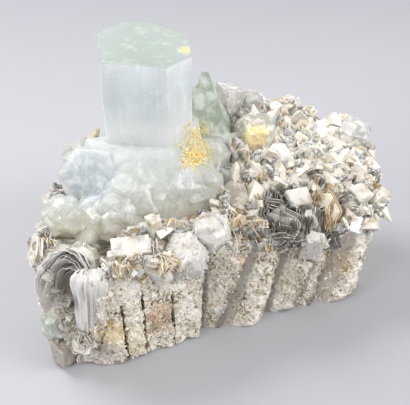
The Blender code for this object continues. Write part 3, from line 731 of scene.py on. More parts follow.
def stood(faces, centre, axis=UP, spin=0.0, wear=0.0, segments=1):
    """A crystal by its faces in millimetres, worn at its edges and set at its place."""
    bm = cleaved([(normal, distance * MM) for normal, distance in faces], 3.0 * MM * max(d for _, d in faces))
    if wear:
        worn(bm, wear * MM, segments)
    bm.transform(frame_on(centre, axis, spin))
    return bm


def refined(bm, longest, wanted=lambda edge: True):
    """Split the wanted edges of the triangulated mesh until none is longer."""
    bmesh.ops.triangulate(bm, faces=bm.faces[:])
    for _ in range(8):
        edges = [edge for edge in bm.edges if edge.calc_length() > longest * MM and wanted(edge)]
        if not edges:
            break
        bmesh.ops.subdivide_edges(bm, edges=edges, cuts=1, use_single_edge=True)
        bmesh.ops.triangulate(bm, faces=[face for face in bm.faces if len(face.verts) > 3])
    return bm


def ruffled(bm, reliefs, weight=lambda point: 1.0):
    """Push the surface in and out by noise; each relief is a size and a height in millimetres."""
    bm.normal_update()
    moves = []
    for vert in bm.verts:
        point = vert.co / MM
        push = 0
        for size, height in reliefs:
            push += height * noise.noise(point / size + Vector((size, 2.3 * size, -size)))
        moves.append(vert.normal * (push * weight(point) * MM))
    for vert, move in zip(bm.verts, moves):
        vert.co += move
    return bm


def grown_together(solids):
    """One mesh of solids that grew into each other."""
    first, *others = (in_scene("grown", mesh_of("grown", solid)) for solid in solids)
    for index, other in enumerate(others):
        joint = first.modifiers.new(f"union_{index}", "BOOLEAN")
        joint.operation = "UNION"
        joint.solver = "MANIFOLD"
        joint.object = other
    graph = bpy.context.evaluated_depsgraph_get()
    mesh = bpy.data.meshes.new_from_object(first.evaluated_get(graph))
    for obj in [first, *others]:
        bpy.data.objects.remove(obj, do_unlink=True)
    bm = bmesh.new()
    bm.from_mesh(mesh)
    bpy.data.meshes.remove(mesh)
    in_order(bm)
    return bm


def small_beryls(rng):
    """Small tilted crystals that break up the foot between its large ones."""
    crystals = []
    for point, normal in surface_spots(node_copy("aquamarine_cluster"), 4000, rng):
        from_prism = math.hypot(point.x - PRISM_MIDDLE[0], point.y - PRISM_MIDDLE[1])
        from_stub = (point - SIDE_CENTRE).cross(SIDE_AXIS.normalized()).length
        if from_prism < 25.0 or from_stub < 15.0 or normal.z < -0.2 or not 42.0 < point.z < 70.0:
            continue
        axis = (normal + scatter(rng, 0.4)).normalized()
        radius = 1.8 + 3.8 * rng.random() ** 1.6
        faces = hexagonal(radius, rng.uniform(0.0, 0.7), 4.0, rng, dome=(34, 0.16 * radius))
        crystals.append(stood(faces, point, axis, rng.uniform(0, 60), 0.2))
        if len(crystals) == SMALL_BERYLS:
            break
    return crystals


def add_aquamarine(finish):
    half_height = (PRISM_TOP - PRISM_ROOT) / 2
    faces = [(compass(direction), distance) for direction, distance in PRISM_SIDES]
    faces += [(UP, half_height), (-UP, half_height)]
    prism = stood(faces, (*PRISM_MIDDLE, (PRISM_TOP + PRISM_ROOT) / 2), wear=PRISM_WEAR, segments=2)
    stub = stood(hexagonal(11.8, 0.0, 27.0, random.Random(5)), SIDE_CENTRE, SIDE_AXIS, 12, STUB_WEAR, 2)
    shoulder = stood(SHOULDER_FACES, SHOULDER_CENTRE, wear=PRISM_WEAR, segments=2)
    solids = [prism, stub, ruffled(refined(shoulder, 1.8), ((9.0, 0.7), (3.0, 0.2)))]
    rng = random.Random(23)
    for centre, axis, spin, radius, up in FOOT_CRYSTALS:
        lump = stood(hexagonal(radius, up, 9.0, rng, dome=(48, 0.32 * radius)), centre, axis, spin, PRISM_WEAR, 2)
        solids.append(ruffled(refined(lump, 1.6), ((7.0, 0.5), (3.0, 0.15), (1.5, 0.08))))
    solids += small_beryls(rng)
    for solid in solids:
        bmesh.ops.triangulate(solid, faces=solid.faces[:])
    name = "aquamarine_cluster_crystals"
    piece(name, mesh_of(name, grown_together(solids)), finish, "aquamarine_cluster")


# ---------------------------------------------------------------- rock
def rim_at(point):
    """Height of the rock's rim nearest to a drawn point."""
    ranked = sorted((math.hypot(point.x - x, point.y - y), z) for x, y, z in ROCK_RIM)[:3]
    weights = [1.0 / (distance + 1.0) for distance, _ in ranked]
    return sum(weight * z for weight, (_, z) in zip(weights, ranked)) / sum(weights)


def on_strip(point):
    """How far a drawn point lies on a sawn strip, 0..1."""
    if point.y > -28:
        return 0.0
    best = 0.0
    for foot_x, top_x, half_width in SAWN_STRIPS:
        across = abs(point.x - foot_x - (top_x - foot_x) * point.z / BAND_HEIGHT)
        best = max(best, min(1.0, max(0.0, half_width + 0.6 - across)))
    return best


def wall_share(point):
    """1 on the walls, 0 up in the crust and down at the foot."""
    point = point + DRAWING_MIDDLE
    below_rim = min(1.0, max(0.0, (rim_at(point) - 1.0 - point.z) / 4.0))
    above_foot = min(1.0, point.z / 1.5)
    return below_rim * above_foot * (1.0 - 0.7 * on_strip(point))


WALL_GRAIN = 1.35


def add_rock(finish):
    bm = node_copy("matrix")

    def on_wall(edge):
        first, second = (on_drawing(vert.co) for vert in edge.verts)
        if max(first.z, second.z) < 0.3:
            return False
        return min(first.z - rim_at(first), second.z - rim_at(second)) < 2.0

    refined(bm, WALL_GRAIN, on_wall)
    ruffled(bm, ((6.5, 1.3), (2.8, 1.0), (1.2, 0.6)), wall_share)
    # share of the rock under the crust; the finish paints it lighter, partly as painted light in the gaps
    covered = bm.verts.layers.float.new(TONE)
    for vert in bm.verts:
        vert.co.z = max(vert.co.z, 0.0)
        point = on_drawing(vert.co)
        vert[covered] = min(1.0, max(0.0, (point.z - rim_at(point) + 2.0) / 4.0))
    bm.normal_update()
    piece("granular_rock", mesh_of("granular_rock", bm), finish, "matrix")


# ---------------------------------------------------------------- kits of small crystals
def toned(parts, name="kit"):
    """One mesh of bmeshes, each with its own tone."""
    whole = bmesh.new()
    for part, tone in parts:
        layer = part.verts.layers.float.new(TONE)
        for vert in part.verts:
            vert[layer] = tone
        loose = mesh_of("loose", part)
        whole.from_mesh(loose)
        bpy.data.meshes.remove(loose)
    return mesh_of(name, whole)


def kit_mesh(parts):
    """One small shape of triangles from bmeshes, each with its own tone."""
    for part, _ in parts:
        bmesh.ops.triangulate(part, faces=part.faces[:])
    return toned(parts)


def tablet(width, thickness, up, down, rng):
    """Faces of a feldspar tablet: two broad faces, oblique ends and a slanting top."""
    skew = rng.uniform(-16, 16)
    return [
        (compass(90), thickness / 2),
        (compass(-90), thickness / 2),
        (compass(0, skew), width / 2),
        (compass(180, -skew), width / 2),
        (compass(rng.choice((0, 180)), rng.uniform(50, 84)), up),
        (compass(rng.uniform(0, 360), rng.uniform(25, 70)), up * rng.uniform(0.75, 1.0)),
        (-UP, down),
    ]


def leaf(radius, thickness, rng):
    """A hexagonal leaf of mica in the XY plane."""
    faces = [(UP, thickness / 2), (-UP, thickness / 2)]
    for side in range(6):
        faces.append((compass(60 * side + rng.uniform(-8, 8)), radius * rng.uniform(0.62, 1.0)))
    return cleaved(faces, 3.0 * radius)


def fan(rng, leaves, radius, thickness, spread):
    """A few mica leaves that stand on edge and spread like a fan about their foot."""
    parts = []
    for index in range(leaves):
        share = (index + 0.5) / leaves - 0.5
        size = radius * rng.uniform(0.72, 1.0)
        part = leaf(size, thickness * rng.uniform(0.7, 1.3), rng)
        part.transform(turned(90, "X"))
        part.transform(Matrix.Translation((rng.uniform(-0.3, 0.3) * radius, 0, 0.55 * size)))
        part.transform(turned(rng.uniform(-14, 14), "Y"))
        part.transform(turned(spread * share * 2 + rng.uniform(-5, 5), "X"))
        part.transform(Matrix.Translation((0, -share * leaves * thickness * 1.4, 0)))
        parts.append((part, rng.random()))
    return kit_mesh(parts)


def shard(rng, cuts, slim):
    """A broken glassy grain, slim along one side."""
    faces = [(compass(rng.uniform(0, 360), rng.uniform(-60, 80)), rng.uniform(0.45, 1.0)) for _ in range(cuts)]
    grain = cleaved(faces + [(UP, 1.2), (-UP, 0.8)], 1.6)
    bmesh.ops.scale(grain, vec=(1.0, slim, 1.0), verts=grain.verts)
    return kit_mesh([(grain, rng.random())])


def splinter(rng):
    """A feldspar tablet with broken corners."""
    faces = tablet(1.0, rng.uniform(0.4, 0.85), rng.uniform(0.6, 1.1), 0.6, rng)
    for _ in range(rng.choice((2, 3, 4))):
        faces.append((compass(rng.uniform(0, 360), rng.uniform(-20, 75)), rng.uniform(0.34, 0.62)))
    return kit_mesh([(cleaved(faces, 4.0), rng.random())])


# broken grains: number of cuts, least slimness, count of shapes; the block is a spare
SHARDS = {"shard": (9, 0.5, 16), "block": (5, 0.7, 12), "grain": (4, 0.6, 12), "chip": (7, 0.5, 14)}


def kits():
    """The small shapes of each kind."""
    rng = random.Random(77)
    made = {
        "albite": [splinter(rng) for _ in range(24)],
        "mica": [fan(rng, rng.choice((3, 4, 5)), 1.0, 0.06, rng.uniform(6, 26)) for _ in range(20)],
    }
    for name, (cuts, slimmest, count) in SHARDS.items():
        made[name] = [shard(rng, cuts, rng.uniform(slimmest, 1.0)) for _ in range(count)]
    return made


def joined(name, kit, places, finish):
    """One mesh of many small crystals; each place is a matrix and a tone."""
    whole = bmesh.new()
    rng = random.Random(len(places))
    for matrix, tone in places:
        shape = rng.choice(kit).copy()
        shape.transform(matrix)
        values = [0.0] * len(shape.vertices)
        shape.attributes[TONE].data.foreach_get("value", values)
        shape.attributes[TONE].data.foreach_set("value", [0.3 * value + 0.7 * tone for value in values])
        whole.from_mesh(shape)
        bpy.data.meshes.remove(shape)
    piece(name, mesh_of(name, whole), finish)


def stand(point, axis, spin, size, sink=0.0):
    """Matrix for a small crystal of a size in millimetres at a drawn point."""
    return frame_on(point, axis, spin) @ Matrix.Translation((0, 0, -sink * MM)) @ Matrix.Scale(size * MM, 4)


def sown(rng, point, axis, size, sink):
    """Matrix, at a random spin, and tone of a small crystal that is sunk by a share of its size."""
    return stand(point, axis, rng.uniform(0, 360), size, sink * size), rng.random()


# zones of the crust, the first that holds a drawn spot counts: centre, radius, then the shares of
# white albite, clear grains, brown, silver and dark mica
CRUST_ZONES = (
    ((29, -33), 17, (0.08, 0.04, 0.20, 0.08, 0.60)),
    ((-72, -14), 22, (0.20, 0.08, 0.12, 0.60, 0.0)),
    ((8, -22), 15, (0.38, 0.20, 0.36, 0.06, 0.0)),
    ((40, -26), 14, (0.35, 0.18, 0.37, 0.05, 0.05)),
    ((-40, -30), 26, (0.44, 0.14, 0.32, 0.10, 0.0)),
    ((50, 24), 22, (0.48, 0.22, 0.22, 0.08, 0.0)),
)
OTHER_ZONE = (0.58, 0.26, 0.12, 0.04, 0.0)
CRUST_COUNT, GRAIN_COUNT = ((6600, 5200))
WALL_SPOTS = 9500
STEEP = 0.8               # a wall's normal rises or falls by less than this
RAY_START = 140.0
RAY_LIFT = 0.0001


def crust_shares(point):
    for (x, y), radius, shares in CRUST_ZONES:
        if math.hypot(point.x - x, point.y - y) < radius:
            return shares
    return OTHER_ZONE


def crust_trees():
    """The rock's surface and that of all other nodes, to cast rays on."""
    rock = node_copy("matrix")
    covers = bmesh.new()
    for name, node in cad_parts.items():
        if name != "matrix":
            covers.from_mesh(node.data)
    trees = BVHTree.FromBMesh(rock), BVHTree.FromBMesh(covers)
    rock.free()
    covers.free()
    return trees


def crust_places(trees, count, rng):
    """Spots in the crust that no other node covers: drawn point, axis and spin."""
    ground, covers = trees
    spots = []
    while len(spots) < count:
        x = rng.uniform(-84, 88)
        y = rng.uniform(-48, 58)
        spot = ground.ray_cast(drawn(x, y, RAY_START), -UP)[0]
        if spot is None or covers.ray_cast(spot + UP * RAY_LIFT, UP)[0] is not None:
            continue
        point = on_drawing(spot)
        if point.z < rim_at(point) - 3.5:
            continue
        lean = rng.uniform(0.1, 1.0)
        heading = rng.uniform(0, math.tau)
        outward = Vector((x, 1.6 * (y - 4.0), 0.0)) / 80.0
        axis = Vector((lean * math.cos(heading), lean * math.sin(heading), 1.0)) + outward * 0.8
        spots.append((point, axis.normalized(), rng.uniform(0, 360)))
    return spots


def inside_box(point, axis, length):
    """Whether a crystal's tip stays within the specimen's reach."""
    low, high = (on_drawing(Vector(corner)) for corner in cad_bounds)
    tip = point + axis * length
    return all(low[i] - 0.5 < tip[i] < high[i] + 0.5 for i in range(3))


# kinds of crystal: piece, kit, finish, slot, size range of the small and of the large ones, share of
# the small ones, depth in the crust
CRUST_KINDS = {
    "albite": ("albite_tablets", "albite", "albite", "white_feldspar", (1.4, 2.8), (2.8, 5.2), 0.65, 0.60),
    "glass": ("glassy_grains", "shard", "clear_grains", "clear_crystal", (1.2, 2.2), (2.2, 3.8), 0.7, 0.30),
    "brown": ("brown_mica_fans", "mica", "brown_mica", "mica", (1.4, 2.4), (2.4, 4.2), 0.65, 0.58),
    "silver": ("silver_mica_fans", "mica", "silver_mica", "mica", (1.4, 2.4), (2.4, 4.6), 0.6, 0.52),
    "dark": ("dark_mica_fans", "mica", "dark_mica", "mica", (1.8, 3.0), (3.0, 5.4), 0.5, 0.35),
}


def add_crust(kit, finishes):
    rng = random.Random(404)
    trees = crust_trees()
    groups = {kind: [] for kind in CRUST_KINDS}
    for point, axis, spin in crust_places(trees, CRUST_COUNT, rng):
        kind = rng.choices(list(CRUST_KINDS), crust_shares(point))[0]
        small, large, share, sink = CRUST_KINDS[kind][4:]
        size = rng.uniform(*small) if rng.random() < share else rng.uniform(*large)
        size *= 1.25 if point.x > 18 and point.y > -22 and kind in ("albite", "glass") else 1.0
        tone = rng.random() ** (1.25 if point.y < -14 else 1.0)
        if inside_box(point, axis, 0.7 * size):
            groups[kind].append((stand(point, axis, spin, size, sink * size), tone))
    for kind, (name, shape, finish, slot, *_) in CRUST_KINDS.items():
        joined(name, kit[shape], groups[kind], finishes[finish])
    grains = []
    for point, axis, spin in crust_places(trees, GRAIN_COUNT, rng):
        grains.append((stand(point, axis, spin, rng.uniform(0.5, 1.6)), rng.uniform(0.5, 1.0)))
    joined("albite_grains", kit["chip"], grains, finishes["albite"])


def add_wall_grains(kit, finishes):
    """Small grains of feldspar and mica that stand a little proud of the rock's walls."""
    rng = random.Random(515)
    grains, flakes = [], []
    for point, normal in surface_spots(node_copy("matrix"), WALL_SPOTS, rng):
        above_rim = point.z - rim_at(point) > 1.0
        if above_rim or point.z < 1.2 or abs(normal.z) > STEEP or rng.random() < 0.6 * on_strip(point):
            continue
        axis = (normal + scatter(rng, 0.7)).normalized()
        spin = rng.uniform(0, 360)
        size = rng.uniform(0.25, 0.6)
        if rng.random() < 0.95:
            grains.append((stand(point, axis, spin, size, 0.2 * size), rng.random()))
        else:
            flakes.append((stand(point, axis, spin, 1.8 * size, size), rng.random()))
    joined("wall_grains", kit["grain"], grains, finishes["wall_grains"])
    joined("wall_mica_flakes", kit["mica"], flakes, finishes["silver_mica"])


# patches of rusty grains: drawn centre and radius, count, least and most size
IRON_PATCHES = (((-3.6, 5, 62), 6.0, 420, 0.12, 0.42), ((3, 20, 62), 5.0, 130, 0.12, 0.40))
RUSTED = ("aquamarine_cluster_crystals", "green_beryl_wedge_crystal", "iron_stained_crystal_crystal")
SIGHT_START, SIGHT_REACH = 0.04, 0.06


def add_iron_grains(kit, finish):
    """Rusty grains on the sides that face the camera, beside the prism and on the stained crystal."""
    rng = random.Random(616)
    solids = bmesh.new()
    for name in RUSTED:
        solids.from_mesh(bpy.data.objects[name].data)
    ground = BVHTree.FromBMesh(solids)
    solids.free()
    sight = CAMERA_AHEAD.normalized()
    grains = []
    for centre, radius, count, least, most in IRON_PATCHES:
        for _ in range(count):
            place = Vector(centre) + Vector([rng.gauss(0.0, 0.45) * radius for _ in range(3)])
            spot, normal, _, _ = ground.ray_cast(drawn(*place) - sight * SIGHT_START, sight, SIGHT_REACH)
            if spot is not None:
                grains.append(sown(rng, on_drawing(spot), normal, rng.uniform(least, most), 0.3))
    joined("iron_oxide_grains", kit["grain"], grains, finish)


# ---------------------------------------------------------------- single crystals and books
# books and plates of mica: axis across the leaves, count of leaves, finish
BOOKS = {
    "hexagonal_mica_plate": ((-0.15, -0.75, 0.65), 4, "translucent_mica"),
    "dark_mica_book": ((-0.80, -0.55, 0.15), 8, "dark_mica"),
    "silver_mica_book": ((0.45, -0.80, 0.35), 9, "dark_mica"),
    "brown_mica_book": ((-0.85, -0.20, 0.30), 8, "brown_mica"),
    "right_mica_book": ((0.70, -0.45, 0.55), 7, "brown_mica"),
    "bright_mica_plate": ((-0.20, -0.55, 0.80), 4, "white_mica_painted_glint"),
    "back_mica_plate": ((-0.30, -0.45, 0.85), 4, "white_mica_painted_glint"),
    "edge_mica_plate": ((-0.10, -0.60, 0.80), 4, "white_mica_painted_glint"),
    "corner_mica_plate": ((0.10, -0.65, 0.75), 4, "white_mica_painted_glint"),
    "left_mica_blade": ((-0.93, 0.05, 0.35), 5, "silver_mica"),
    "hidden_mica_blade": ((-0.72, 0.30, 0.62), 4, "brown_mica"),
}
# crystals with a finish of their own: finish, slot, wear of the edges, relief of the faces
CRYSTALS = {
    "green_beryl_wedge": ("green_beryl", "green_beryl", 0.25, 0.0),
    "green_side_beryl": ("green_beryl", "green_beryl", 0.4, 0.4),
    "clear_crystal_back": ("clear_crystal", "clear_crystal", 0.3, 0.0),
    "grey_crystal_back": ("grey_clear_crystal", "clear_crystal", 0.3, 0.0),
    "clear_crystal_right": ("clear_crystal", "clear_crystal", 0.3, 0.0),
    "iron_stained_crystal": ("iron_stained_quartz", "clear_crystal", 0.4, 0.3),
    "grey_mica_block": ("silver_mica", "mica", 0.3, 0.4),
}
LUMP_WEAR, LUMP_RELIEF, LUMP_GRAIN = 0.3, 0.35, 0.9
# white crystals: axis, number of blocks grown on them, least and most size of a block
LUMPS = {
    "white_feldspar_lump": ((-0.10, -0.55, 1.0), 190, 0.5, 1.6),
    "white_feldspar_shoulder": ((0.10, -0.45, 1.0), 120, 0.5, 1.5),
    "white_feldspar_block": ((-0.15, -0.25, 1.0), 50, 0.6, 1.6),
    "white_feldspar_chip": ((0.10, -0.50, 1.0), 30, 0.6, 1.4),
    "white_albite_prism": ((0.05, -0.10, 1.0), 14, 0.5, 1.2),
    "pale_albite_block": ((0.05, -0.20, 1.0), 26, 0.6, 1.5),
    "albite_block_front": ((0.10, -0.25, 1.0), 30, 0.6, 1.6),
    "albite_block_middle": ((0.1, -0.4, 1.0), 30, 0.6, 1.6),
}
# upright blades grown over a book: axis, count, least and most size, finish
BLADES = {
    "dark_mica_book": ((-0.3, -0.3, 1.0), 26, 1.6, 3.2, "dark_mica"),
    "silver_mica_book": ((0.1, -0.5, 1.0), 80, 1.4, 3.4, "dark_mica"),
    "brown_mica_book": ((-0.1, -0.2, 1.0), 40, 1.6, 3.4, "brown_mica"),
    "right_mica_book": ((0.2, -0.3, 1.0), 24, 1.4, 2.8, "brown_mica"),
    "left_mica_blade": ((-0.6, -0.2, 1.0), 12, 1.4, 2.6, "silver_mica"),
    "grey_mica_block": ((-0.5, -0.6, 0.4), 14, 1.0, 2.0, "silver_mica"),
}
EDGE_ON = 68.0            # turn at which a fan's leaves are seen from their edge at the front


def add_book(name, axis, leaves, finish, rng):
    """A CAD book split into its leaves, each a little smaller or turned."""
    solid = node_copy(name)
    middle = sum((vert.co for vert in solid.verts), Vector()) / len(solid.verts)
    spans = [(vert.co - middle).dot(axis) for vert in solid.verts]
    low, high = min(spans), max(spans)
    parts = []
    for index in range(leaves):
        part = solid.copy()
        for share, outward in ((0.94, axis), (0.06, -axis)):
            split_off(part, middle + axis * (low + (high - low) * (index + share) / leaves), outward)
        if not part.faces:
            part.free()
            continue
        side = axis.orthogonal().normalized()
        side.rotate(Matrix.Rotation(rng.uniform(0, math.tau), 3, axis))
        reach = max((vert.co - middle).dot(side) for vert in part.verts)
        split_off(part, middle + side * reach * rng.uniform(0.72, 0.98), side)
        turn = Matrix.Translation(middle) @ turned(rng.uniform(-2.5, 2.5), side)
        part.transform(turn @ Matrix.Translation(-middle))
        parts.append((part, rng.random()))
    solid.free()
    piece(f"{name}_leaves", kit_mesh(parts), finish, name)


def add_lump(name, finish, wear=LUMP_WEAR, relief=LUMP_RELIEF):
    """A CAD lump with worn edges and a broken surface."""
    bm = node_copy(name)
    bmesh.ops.dissolve_limit(bm, angle_limit=math.radians(1.0), verts=bm.verts[:], edges=bm.edges[:])
    in_order(bm)
    worn(bm, wear * MM)
    if relief:
        ruffled(refined(bm, LUMP_GRAIN), ((3.5, relief), (1.5, 0.5 * relief)))
    else:
        bmesh.ops.triangulate(bm, faces=bm.faces[:])
    bmesh.ops.recalc_face_normals(bm, faces=bm.faces)
    piece(f"{name}_crystal", mesh_of(f"{name}_crystal", bm), finish, name)


def add_blocks(kit, finish):
    """Blocky crystals grown all over the white lumps, which break up their outlines."""
    rng = random.Random(818)
    places = []
    for name, (axis, count, least, most) in LUMPS.items():
        for point, normal in surface_spots(node_copy(name), count, rng):
            grown = (Vector(axis).normalized() * 0.9 + normal * 0.6).normalized()
            wobble = Vector((rng.uniform(-0.3, 0.3), rng.uniform(-0.3, 0.3), 0))
            size = rng.uniform(least, most)
            matrix = stand(point, grown + wobble, rng.choice((0, 90)) + rng.uniform(-15, 15), size, 0.6 * size)
            places.append((matrix, rng.uniform(0.45, 0.9)))
    joined("white_feldspar_blocks", kit["shard"], places, finish)


def add_blades(kit, finishes):
    """Thin upright blades that fray the mica books."""
    rng = random.Random(919)
    groups = {}
    for name, (axis, count, least, most, finish) in BLADES.items():
        for point, normal in surface_spots(node_copy(name), count, rng):
            grown = (Vector(axis).normalized() + normal * 0.3).normalized()
            size = rng.uniform(least, most)
            matrix = stand(point, grown, EDGE_ON + rng.uniform(-28, 28), size, 0.5 * size)
            groups.setdefault(finish, []).append((matrix, rng.random()))
    for finish, places in groups.items():
        joined(f"{finish}_blades", kit["mica"], places, finishes[finish])


ROSETTE_CENTRE = Vector((-68.3, -37.2, 15.0))
ROSETTE_AXIS = Vector((-0.50, -0.80, 0.35))
# leaves of the rosette: turn about its axis, tilt of the leaf, radius
ROSETTE_PETALS = (
    (0, 52, 3.4), (38, 40, 3.8), (80, 56, 3.2), (118, 35, 3.9), (160, 50, 3.3), (205, 42, 3.8), (250, 56, 3.4),
    (292, 38, 3.8), (330, 48, 3.3), (20, 18, 2.8), (140, 14, 3.0), (265, 20, 2.8), (75, 28, 3.2), (185, 24, 3.2),
)


def add_rosette(finish):
    """Silvery leaves that open like petals."""
    rng = random.Random(929)
    stance = frame_on(ROSETTE_CENTRE, ROSETTE_AXIS)
    parts = []
    for turn, tilt, radius in ROSETTE_PETALS:
        petal = leaf(radius * MM, 0.3 * MM, rng)
        petal.transform(Matrix.Translation((0.7 * radius * MM, 0, 0)))
        petal.transform(turned(-tilt, "Y"))
        petal.transform(stance @ turned(turn, "Z") @ Matrix.Translation((0, 0, -1.6 * MM)))
        parts.append((petal, rng.random()))
    piece("rosette_petals", kit_mesh(parts), finish, "mica_rosette")


def add_corner_fans(kit, finishes):
    """Silvery fans and grains that fill the left front corner below the sheaf."""
    rng = random.Random(939)
    fans, grains = [], []
    for point, normal in surface_spots(node_copy("matrix"), 9000, rng):
        if point.x > -60 - 0.25 * point.z or point.y > -8 or not 3.0 < point.z < 37.0 or abs(normal.z) > STEEP:
            continue
        if (point - SIDE_BERYL).length < 8.5 or (point - HOLLOW).length < 8.0:
            continue
        grown = (normal + scatter(rng, 0.8)).normalized()
        if rng.random() < 0.55:
            fans.append(sown(rng, point, grown, rng.uniform(1.2, 2.8), 0.35))
        else:
            grains.append(sown(rng, point, grown, rng.uniform(0.5, 1.5), 0.2))
    for point, normal in surface_spots(node_copy("mica_sheaf"), 420, rng):
        on_root = normal.z > 0.4 and (point - SHEAF_MOUTH).dot(SHEAF_AXIS) < -6.0
        if not on_root and (point.x > -74 or normal.dot(Vector((-0.75, 0.65, 0.0))) < 0.35):
            continue
        grown = (normal + Vector((-0.2, -0.5, 0.3)) + scatter(rng, 0.4)).normalized()
        fans.append(sown(rng, point, grown, rng.uniform(1.2, 2.6), 0.5))
    for _ in range(34):
        side = scatter(rng, 1)
        grown = (ROSETTE_AXIS * 0.8 + side).normalized()
        foot = ROSETTE_CENTRE + side * 3.0 - ROSETTE_AXIS * 1.5
        fans.append((stand(foot, grown, rng.uniform(0, 360), rng.uniform(1.4, 2.4)), rng.uniform(0.5, 1.0)))
    joined("corner_mica_fans", kit["mica"], fans, finishes["silver_mica"])
    joined("corner_grains", kit["shard"], grains, finishes["albite"])


# ---------------------------------------------------------------- mica sheaf
SHEAF_MOUTH = Vector((-71.0, -34.0, 38.0))
SHEAF_AXIS = Vector((-0.66, -0.74, 0.10)).normalized()
SHEAF_LENGTH = 17.0
SHEAF_TALL = 1.4          # how much taller than wide the fold is
SHEAF_RAKE = 0.25         # how far the top of the fold leans back, as a share of its length
# radius at the root, radius at the mouth, arc in degrees, shortfall at the mouth
FOLIA = (
    (9.3, 13.6, -10, 204, 1.6), (9.1, 13.3, 0, 196, 0.5), (8.9, 13.0, -6, 190, 0.0), (8.7, 12.7, 8, 202, 0.3),
    (8.5, 12.4, -5, 200, 0.8), (8.2, 12.0, 14, 188, 1.6), (7.8, 11.5, 0, 196, 2.4), (7.4, 11.0, 20, 176, 3.4),
    (6.9, 10.2, 8, 190, 1.4), (6.6, 9.7, 12, 184, 0.6), (6.3, 9.3, 30, 178, 2.0), (5.8, 8.6, 16, 192, 3.6),
    (5.2, 7.7, 40, 170, 5.0), (4.7, 6.9, 28, 194, 2.2), (4.4, 6.5, 34, 190, 3.0), (3.6, 5.0, 50, 170, 6.0),
    (9.8, 14.2, 190, 216, 0.2),
)
# the upright fold beside the mouth: centre, axis, reach up and down, then its sheets' radius and arc
LOBE_CENTRE = Vector((-61.4, -34.8, 30.0))
LOBE_AXIS = (0.03, -0.16, 1.0)
LOBE_REACH = (22.5, 21.0)
LOBE_WIDE = 1.25          # how much wider than deep the fold is
LOBE_SHEETS = (
    (6.6, 262, 352, 1.6), (6.4, 150, 240, 0.6), (6.2, 232, 296, 2.4), (5.9, 150, 226, 2.0), (5.7, 246, 345, 0.0),
    (5.5, 160, 270, 1.0), (5.2, 150, 320, 0.0), (4.7, 165, 350, 0.6), (4.0, 150, 330, 0.0),
)
SHEET_THICKNESS = 0.25
ARC_STEPS = 38
LENGTH_STEPS = 14


def bent_sheet(arc_steps, length_steps, across, along, place):
    """A thin sheet whose grid, 0..1 each way, is bent to the place that a function gives."""
    bm = bmesh.new()
    bmesh.ops.create_grid(bm, x_segments=arc_steps, y_segments=length_steps, size=0.5, calc_uvs=True)
    uv = bm.loops.layers.uv.new(SHEET_UV)
    for face in bm.faces:
        for loop in face.loops:
            loop[uv].uv = (loop.vert.co.x * across, loop.vert.co.y * along)
    for vert in bm.verts:
        vert.co = place(vert.co.x + 0.5, vert.co.y + 0.5) * MM
    bm.normal_update()
    bmesh.ops.solidify(bm, geom=bm.faces[:], thickness=SHEET_THICKNESS * MM)
    in_order(bm)
    bmesh.ops.recalc_face_normals(bm, faces=bm.faces)
    return bm


def folium(row, rng):
    """One bent sheet of the sheaf with a ragged mouth."""
    root_radius, mouth_radius, first, last, short = row
    seed = rng.uniform(0, 50)

    def place(turn, share):
        angle = math.radians(first + (last - first) * turn)
        ragged = 1.5 * noise.noise(Vector((turn * 8.0, seed, 0.3)))
        ragged += 0.8 * noise.noise(Vector((turn * 25.0, seed, 1.3)))
        rise = max(0.0, math.sin(angle))
        reach = ((SHEAF_LENGTH - short) + ragged) * share * (1.0 - SHEAF_RAKE * rise)
        radius = root_radius + (mouth_radius - root_radius) * share**1.4
        radius *= 1.0 + 0.05 * math.sin(4.0 * angle + root_radius)
        radius *= 1.0 + 0.05 * noise.noise(Vector((turn * 12.0, share * 1.5, seed)))
        return Vector((radius * math.cos(angle), SHEAF_TALL * radius * math.sin(angle), reach))

    bm = bent_sheet(ARC_STEPS, LENGTH_STEPS, 2.5 * mouth_radius, SHEAF_LENGTH, place)
    bm.transform(frame_on(SHEAF_MOUTH - SHEAF_AXIS * SHEAF_LENGTH, SHEAF_AXIS))
    return bm


def lobe_sheet(row, rng):
    """One upright sheet of the fold beside the mouth, closing towards its top."""
    radius, first, last, short = row
    seed = rng.uniform(0, 50)
    up, down = LOBE_REACH

    def place(turn, share):
        angle = math.radians(first + (last - first) * turn)
        ragged = 1.4 * noise.noise(Vector((turn * 5.0, seed, 0.3)))
        height = -down + (up - short + down) * share + ragged
        closing = math.sqrt(max(0.02, 1.0 - max(0.0, (height - up + 7.0) / 7.6) ** 2))
        swell = 1.0 + 0.25 * noise.noise(Vector((turn * 4.0, share * 2.5, 7.0)))
        swell -= 0.14 * abs(noise.noise(Vector((turn * 14.0, share * 1.2, seed))))
        around = radius * swell * (1.0 - 0.25 * (1.0 - share))
        wide = LOBE_WIDE * (0.3 + 0.7 * closing)
        return Vector((wide * around * math.cos(angle), closing * around * math.sin(angle), height))

    bm = bent_sheet(ARC_STEPS, 2 * LENGTH_STEPS, 2.5 * radius, up + down, place)
    bm.transform(frame_on(LOBE_CENTRE, LOBE_AXIS))
    return bm


def add_fold_grains(kit, finishes):
    """Grains and flakes that cling to the right half of the upright fold and to its foot."""
    rng = random.Random(717)
    sheets = bmesh.new()
    sheets.from_mesh(bpy.data.objects["mica_sheaf_folia"].data)
    grains, flakes = [], []
    for point, normal in surface_spots(sheets, 9500, rng):
        near_fold = abs(point.x - LOBE_CENTRE.x) < 10 and point.y < -33 and 4 < point.z < 51
        across = point.x - LOBE_CENTRE.x + (24 - point.z) * 0.25
        if not near_fold or across < rng.uniform(-3.0, 4.5):
            continue
        axis = (normal + scatter(rng, 0.7)).normalized()
        size = rng.uniform(0.4, 1.2)
        places = grains if rng.random() < 0.6 else flakes
        places.append(sown(rng, point, axis, size, 0.2))
    joined("fold_grains", kit["shard"], grains, finishes["wall_grains"])
    joined("fold_flakes", kit["mica"], flakes, finishes["silver_mica"])


